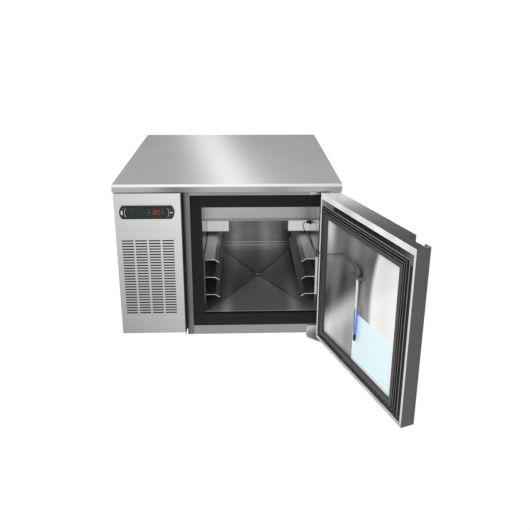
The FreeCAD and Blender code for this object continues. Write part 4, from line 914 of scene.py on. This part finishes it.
class CHILLER_OT_probe(bpy.types.Operator):
    """Core probe on the door: curved handle, sleeve, needle and its coloured end"""

    bl_idname = "chiller.probe"
    bl_label = "Core probe"

    def execute(self, context):
        """Handle: a tube along a bent line, which swells to the handle's radius and tapers.

        Sleeve and rod: radius and height profiles turned about the upright axis.
        """
        x, y, shelf = PROBE_X, PROBE_Y, PROBE_SHELF
        r = sizes().handle_radius
        bend = [(-0.0040, 0.0), (-0.0045, 0.0110), (-0.0005, 0.0195), (0.0160, 0.0255),
                (0.0450, 0.0295), (0.0780, 0.0340)]
        middle = y + 0.0015
        path = smooth_path([(x + right, middle, shelf + up) for right, up in bend])
        s = np.linspace(0, 1, len(path))
        girth = r * (0.86 + 0.14 * np.sin(np.pi * np.clip(s * 2.0, 0, 1)))
        girth *= 1 - 0.68 * np.clip((s - 0.30) / 0.70, 0, 1) ** 0.9
        body = swept(path, girth, 28, 0.92)
        collar = lathe([(0.0080, 0), (0.0084, 0.0008), (0.0084, 0.003), (0.0078, 0.004)],
                       (x - 0.004, middle, shelf), around=40)
        handle = self.part("probe_grip", join_parts([body, collar]), finish("probe_grey"))
        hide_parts("probe_handle")
        long = 0.098
        profile = [(0.0040, 0), (0.0048, 0.0010), (0.0048, 0.090), (0.0034, 0.092), (0.0034, long)]
        sleeve = self.part("probe_sleeve", lathe(profile, (x, y, shelf - long), around=32),
                           finish("probe_steel"))
        tip = span("probe_needle")[0][2] - 0.008
        rise = shelf - long - tip
        blunt = 0.0042
        a = np.linspace(0, np.pi / 2, 6)
        profile = list(zip(np.maximum(blunt * np.sin(a), 0.0002), blunt * (1 - np.cos(a))))
        profile += [(0.0043, 0.020), (0.0034, 0.0215), (0.0040, 0.024), (0.0046, 0.040),
                    (0.0048, rise - 0.010), (0.0036, rise - 0.004), (0.0036, rise + 0.002)]
        rod = self.part("probe_rod", lathe(profile, (x, y, tip), around=32), tinted_rod(tip))
        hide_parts("probe_needle")
        return {"FINISHED"}

    def part(self, name, mesh, look):
        """A piece on the door from points drawn on the closed door."""
        points, faces = mesh
        return new_piece(name, door_point(points), faces, "door", look)


def tinted_rod(tip):
    """Needle under a coloured guard: dark tip, blue, paler towards the upper end; its sides as seen
    from the front are painted darker as shade.
    """
    guard = Finish("needle_guard", (0.25, 0.40, 0.75), 0.25, 0.0)
    x, y, z = guard.axes()
    ax, ay = door_point([(PROBE_X, PROBE_Y, 0.0)])[0][:2]
    side = (x * 0.98 - y * 0.15 - float(ax * 0.98 - ay * 0.15)).size()
    upper = ((z - (tip + 0.040)) / 0.060).most(0.0).least(1.0)
    low = z < tip + 0.0212
    front = guard.mix(upper, (0.16, 0.32, 0.80, 1), (0.60, 0.72, 0.92, 1))
    # painted shade: the guard darkens towards its sides as seen from the front
    edge = ((side - 0.0018) / 0.0010).most(0.0).least(1.0)
    body = guard.mix(edge, front, (0.030, 0.085, 0.52, 1))
    guard.set("Base Color", guard.mix(low, body, (0.004, 0.008, 0.03, 1)))
    guard.set("Roughness", 0.22 + 0.10 * guard.noise(400.0))
    return guard


class CHILLER_OT_cable(bpy.types.Operator):
    """Probe cable from the chamber's wall to the handle, with its relief sleeve"""

    bl_idname = "chiller.cable"
    bl_label = "Probe cable"

    def execute(self, context):
        """A round tube along the line; the relief is a wider one over its last stretch."""
        thick = sizes().cable_diameter
        line = self.line(context, CABLE_ROUTE)
        points, faces = swept(line, np.full(len(line), thick / 2), 16)
        lead = new_piece("probe_lead", points, faces, None, finish("cable_grey"))
        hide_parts("probe_cable")
        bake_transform(lead)
        last = line[-12:]
        taper = np.linspace(0.54, 0.88, len(last)) * thick
        points, faces = swept(last, taper, 24)
        relief = new_piece("probe_relief", points, faces, "door", finish("probe_grey"))
        return {"FINISHED"}

    def line(self, context, route):
        """Points along the NURBS line of order 3 whose control points are the route."""
        curve = bpy.data.curves.new("probe_line", "CURVE")
        curve.dimensions = "3D"
        curve.resolution_u = 12
        spline = curve.splines.new("NURBS")
        spline.points.add(len(route) - 1)
        spline.points.foreach_set("co", np.c_[np.array(route), np.ones(len(route))].ravel())
        spline.order_u = 3
        spline.use_endpoint_u = True
        guide = bpy.data.objects.new("probe_line", curve)
        context.collection.objects.link(guide)
        seen = guide.evaluated_get(context.evaluated_depsgraph_get())
        mesh = bpy.data.meshes.new_from_object(seen)
        points = np.empty(len(mesh.vertices) * 3)
        mesh.vertices.foreach_get("co", points)
        bpy.data.objects.remove(guide)
        bpy.data.meshes.remove(mesh)
        return points.reshape(-1, 3)


class CHILLER_OT_controller(bpy.types.Operator):
    """Controller: rounded bezel, lit digits, pilot lights and the marks on its keys"""

    bl_idname = "chiller.controller"
    bl_label = "Controller"

    HALF = 0.0815  # half the bezel's width

    def execute(self, context):
        low, high = span("controller_bezel")
        cx, cz = (low[0] + high[0]) / 2, (low[2] + high[2]) / 2
        self.rim(cx, cz, low[1])
        window = span("display_window")[0][1]
        self.digits(cx, cz, window)
        self.marks(cx, cz, window)
        return {"FINISHED"}

    def outline(self, cx, cz, inset, steps=17):
        """Capsule outline: straight top and bottom, ends as arcs of 8 mm bulge."""
        half, high, bulge = self.HALF - inset, 0.020 - inset, 0.008
        radius = (high ** 2 + bulge ** 2) / (2 * bulge)
        turn = math.asin(high / radius)
        a = np.linspace(-turn, turn, steps)
        right = np.stack([cx + half - radius + radius * np.cos(a), cz + radius * np.sin(a)], 1)
        left = np.stack([cx - half + radius - radius * np.cos(a), cz - radius * np.sin(a)], 1)
        return np.vstack([right, left])

    def rim(self, cx, cz, front):
        """Raised rim: a quarter round from the panel to the front face, 2 mm wide."""
        a = np.linspace(0, np.pi / 2, 6)
        rows = [(0.0, 0.0048)]
        rows += list(zip(0.0016 * (1 - np.cos(a)), 0.0016 * (1 - np.sin(a))))
        rows += [(0.0021, 0.0), (0.0022, 0.0030)]
        loops = [self.outline(cx, cz, inset) for inset, _ in rows]
        points = np.stack([
            np.stack([loop[:, 0], np.full(len(loop), front + depth), loop[:, 1]], -1)
            for loop, (_, depth) in zip(loops, rows)])
        faces = grid_faces(*points.shape[:2], wrap_columns=True)
        piece = new_piece("controller_rim", points.reshape(-1, 3), faces, "cabinet",
                          finish("controller_black"))
        piece.modifiers.new("crisp", "EDGE_SPLIT").split_angle = math.radians(60)

    def flat(self, name, loops, y, body, look, slot):
        """Thin raised marks: each closed outline in X and Z is pushed from front to back."""
        proud, sunk = 0.00015, 0.00005
        parts = []
        for loop in loops:
            count = len(loop)
            front = np.c_[loop[:, 0], np.full(count, y - proud), loop[:, 1]]
            back = np.c_[loop[:, 0], np.full(count, y + sunk), loop[:, 1]]
            side = grid_faces(2, count, wrap_columns=True)[:, ::-1].tolist()
            ends = [face[::-1] for face in end_faces(2, count)]
            parts.append((np.vstack([front, back]), ends + side))
        points, faces = join_parts(parts)
        piece = new_piece(name, points, faces, body, look, smooth=False)

    def disc(self, x, z, radius, steps=20):
        """Circle of the given radius, clockwise."""
        a = np.linspace(0, 2 * np.pi, steps, endpoint=False)[::-1]
        return np.stack([x + radius * np.cos(a), z + radius * np.sin(a)], 1)

    def arc(self, cx, cz, side, radius):
        """Arc in front of an end key, bowed towards that end of the bezel."""
        a = np.linspace(-0.52, 0.52, 15)
        middle = cx + side * (self.HALF - 0.0165 - 0.0280)
        return np.stack([middle + side * radius * np.cos(a), cz + radius * np.sin(a)], 1)

    def digits(self, cx, cz, y):
        """Three seven-segment digits that slant by 8 degrees, with pilot lights round them."""
        red = colours().digits
        lit = Finish("lit_red", red, 0.4, 0.0, Emission_Color=(*red, 1.0), Emission_Strength=0.12)
        dim = Finish("pilot_red", (0.22, 0.02, 0.018), 0.4, 0.0,
                     Emission_Color=(0.5, 0.03, 0.02, 1.0), Emission_Strength=0.25)
        wide, tall, bar, gap = 0.0056, 0.0125, 0.0013, 0.0005
        b, h, pitch, slant = bar / 2, tall / 2, 0.0098, math.tan(math.radians(8))
        flat_bar = [(gap, 0), (gap + b, b), (wide - gap - b, b), (wide - gap, 0),
                    (wide - gap - b, -b), (gap + b, -b)]
        upright_bar = [(0, gap), (b, gap + b), (b, h - gap - b), (0, h - gap),
                       (-b, h - gap - b), (-b, gap + b)]
        segments = {
            "a": (flat_bar, 0, tall), "g": (flat_bar, 0, h), "d": (flat_bar, 0, 0),
            "f": (upright_bar, 0, h), "b": (upright_bar, wide, h),
            "e": (upright_bar, 0, 0), "c": (upright_bar, wide, 0)}
        shown = {"1": "bc", "8": "abcdefg", "0": "abcdef"}
        loops = []
        for k, digit in enumerate("180"):
            corner = (cx + 0.0120 + pitch * k, cz - h + 0.0005)
            for name in shown[digit]:
                bar_points, right, up = segments[name]
                loop = np.array(bar_points) + (right, up)
                loop[:, 0] += loop[:, 1] * slant
                loops.append(loop[::-1] + corner)
        self.flat("lit_digits", loops, y, "cabinet", lit, "display_black")
        pilots = [self.disc(cx + dx, cz + dz, 0.0012)
                  for dx, dz in ((-0.046, 0.009), (-0.038, 0.009), (-0.030, 0.009),
                                 (0.004, 0.009), (0.004, -0.009), (0.046, 0.009))]
        a = np.radians(np.r_[np.arange(38, 143, 17.4), np.arange(218, 323, 17.4)])
        ring = np.c_[0.0190 * np.cos(a), 0.0115 * np.sin(a)] + (cx + 0.0246, cz)
        pilots += [self.disc(px, pz, 0.0009, 12) for px, pz in ring]
        self.flat("pilot_lights", pilots, y, "cabinet", dim, "display_black")

    def marks(self, cx, cz, y):
        """Pale marks: an oval, a dash and two triangles on the keys, arcs beside the end keys."""
        pale = moulded("print_white", (0.72, 0.74, 0.76), 0.45)
        grey = moulded("print_grey", (0.20, 0.24, 0.28), 0.45)
        off, on = span("key_off"), span("key_on")
        oval = rounded_loop(0.0046, 0.0130, 0.0022, 6)[::-1] + (off[0][0] + 0.0052, cz)
        self.flat("off_mark", [oval], off[0][1], "key_off", pale, "key_black")
        dash = rounded_loop(0.0082, 0.0026, 0.0009, 5)[::-1] + (on[1][0] - 0.0062, cz)
        self.flat("on_mark", [dash], on[0][1], "key_on", pale, "key_black")
        arcs = []
        for side in (-1, 1):
            loop = np.vstack([self.arc(cx, cz, side, 0.0288), self.arc(cx, cz, side, 0.0280)[::-1]])
            arcs.append(loop[::-side])
        self.flat("end_arcs", arcs, y, "cabinet", pale, "display_black")
        for name, up in (("key_down", -1), ("key_up", 1)):
            low, high = span(name)
            middle = ((low[0] + high[0]) / 2, (low[2] + high[2]) / 2)
            triangle = np.array([(-0.0022, -0.0009), (0.0022, -0.0009), (0.0, 0.0022)]) * (1, up)
            self.flat(name + "_mark", [(triangle + middle)[::-up]], low[1], name, grey,
                      "key_black")


class CHILLER_OT_hinge_cap(bpy.types.Operator):
    """Flat cap under the bottom hinge pin"""

    bl_idname = "chiller.hinge_cap"
    bl_label = "Hinge cap"

    def execute(self, context):
        """A disc with a sloping rim, turned about the pin downwards from the bracket."""
        low, high = span("hinge_collar")
        under = ((low[0] + high[0]) / 2, (low[1] + high[1]) / 2, 0.0300)
        points, faces = lathe([(0.0064, 0.0), (0.0064, 0.0014), (0.0044, 0.0020)], under,
                              axis=(0, 0, -1), around=36)
        piece = new_piece("hinge_pin_cap", points, faces, "cabinet", finish("zinc_steel"))
        return {"FINISHED"}


# the photograph's side, its lens and the row that the lens looks at, in pixels
PHOTO_PIXELS, LENS_PIXELS, LEVEL_ROW = 530, 596.5, 204


class CHILLER_OT_stage(bpy.types.Operator):
    """Floor, soft lights, white surround and the camera"""

    bl_idname = "chiller.stage"
    bl_label = "Stage"

    def execute(self, context):
        self.floor()
        self.surround(context.scene)
        self.lamp("key", (-1.6, -2.4, 2.6), (0.0, 0.0, 0.35), 1.8, 50.0)
        self.lamp("fill", (2.4, -1.8, 1.8), (0.1, -0.1, 0.3), 1.6, 16.0)
        self.lamp("rear", (0.2, 2.6, 2.2), (0.0, 0.0, 0.5), 2.2, 22.0)
        self.camera(context.scene)
        return {"FINISHED"}

    def floor(self):
        """A plane 12 m square that camera and mirror rays see as nearly white."""
        side = np.linspace(-6, 6, 3)
        x, y = np.meshgrid(side, side, indexing="ij")
        points = np.stack([x, y, np.zeros_like(x)], -1).reshape(-1, 3)
        mesh = bpy.data.meshes.new("floor")
        mesh.from_pydata(points.tolist(), [], grid_faces(3, 3).tolist())
        plane = bpy.data.objects.new("floor", mesh)
        bpy.context.collection.objects.link(plane)
        base = Finish("floor_paper", (0.80, 0.80, 0.80), 0.9)
        glow = base.node("Emission", None, {"Color": (1, 1, 1, 1), "Strength": 1.04})
        mixed = base.node("MixShader", None, {
            0: base.seen() * 0.96, 1: Wire(base, base.shader.outputs[0]), 2: glow})
        base.join(base.tree.nodes["Material Output"].inputs["Surface"], mixed)
        mesh.materials.append(base.material)

    def surround(self, scene):
        """World: white where it is seen or mirrored, and a soft grey light elsewhere."""
        world = bpy.data.worlds.new("studio")
        scene.world = world
        world.use_nodes = True
        nodes = Nodes(world.node_tree)
        back = nodes.tree.nodes["Background"]
        nodes.join(back.inputs["Color"], (1, 1, 1, 1))
        nodes.join(back.inputs["Strength"], nodes.node("MapRange", None, {
            "Value": nodes.seen(), "To Min": 0.55, "To Max": 1.02}))
        scene.view_settings.view_transform = "Standard"

    def lamp(self, name, place, target, side, power):
        """A square area lamp that looks at its target and isn't mirrored in the steel."""
        light = bpy.data.lights.new(name, "AREA")
        light.size = side
        light.energy = power
        lamp = bpy.data.objects.new(name, light)
        bpy.context.collection.objects.link(lamp)
        lamp.location = place
        lamp.visible_glossy = False
        lamp.rotation_euler = (Vector(target) - Vector(place)).to_track_quat("-Z", "Y").to_euler()

    def camera(self, scene):
        """The photograph's station: 18.2 degrees down, 2.3 right, lens of 596.5 pixels."""
        down, pan, roll = (math.radians(v) for v in (18.19, 2.31, 0.38))
        ahead = Vector((math.sin(pan) * math.cos(down), math.cos(pan) * math.cos(down),
                        -math.sin(down)))
        right = Vector((math.cos(pan), -math.sin(pan), 0.0))
        up = right.cross(ahead)
        turned = right * math.cos(roll) + up * math.sin(roll)
        upright = up * math.cos(roll) - right * math.sin(roll)
        data = bpy.data.cameras.new("camera")
        data.sensor_width = 36.0
        data.lens = data.sensor_width * LENS_PIXELS / PHOTO_PIXELS
        data.shift_y = (LEVEL_ROW - PHOTO_PIXELS / 2) / PHOTO_PIXELS
        data.clip_end = 50.0
        station = bpy.data.objects.new("camera", data)
        bpy.context.collection.objects.link(station)
        station.matrix_world = Matrix.Translation((0.0422, -2.0508, 1.0699)) @ Matrix(
            (turned, upright, -ahead)).transposed().to_4x4()
        scene.camera = station


class CHILLER_PT_panel(bpy.types.Panel):
    """Sizes, colours and the pieces in the order in which they are made"""

    bl_idname = "CHILLER_PT_panel"
    bl_label = "Blast Chiller"
    bl_space_type = "VIEW_3D"
    bl_region_type = "UI"
    bl_category = "Blast Chiller"

    def draw(self, context):
        for group in (context.scene.chiller_sizes, context.scene.chiller_colours):
            box = self.layout.box()
            for name in group.__annotations__:
                box.prop(group, name)
        for operator in OPERATORS:
            self.layout.operator(operator.bl_idname)


OPERATORS = (
    CHILLER_OT_finishes, CHILLER_OT_cable, CHILLER_OT_worktop, CHILLER_OT_gasket,
    CHILLER_OT_probe, CHILLER_OT_controller, CHILLER_OT_hinge_cap, CHILLER_OT_stage,
)
CLASSES = (ChillerSizes, ChillerColours) + OPERATORS + (CHILLER_PT_panel,)


def register():
    for item in CLASSES:
        bpy.utils.register_class(item)
    bpy.types.Scene.chiller_sizes = bpy.props.PointerProperty(type=ChillerSizes)
    bpy.types.Scene.chiller_colours = bpy.props.PointerProperty(type=ChillerColours)


def unregister():
    del bpy.types.Scene.chiller_colours
    del bpy.types.Scene.chiller_sizes
    for item in reversed(CLASSES):
        bpy.utils.unregister_class(item)


def corners(box):
    """A box's two corners as plain numbers."""
    return [[float(v) for v in corner] for corner in box]


def main():
    register()
    for operator in OPERATORS:
        group, name = operator.bl_idname.split(".")
        getattr(getattr(bpy.ops, group), name)()


if __name__ == "__main__":
    main()
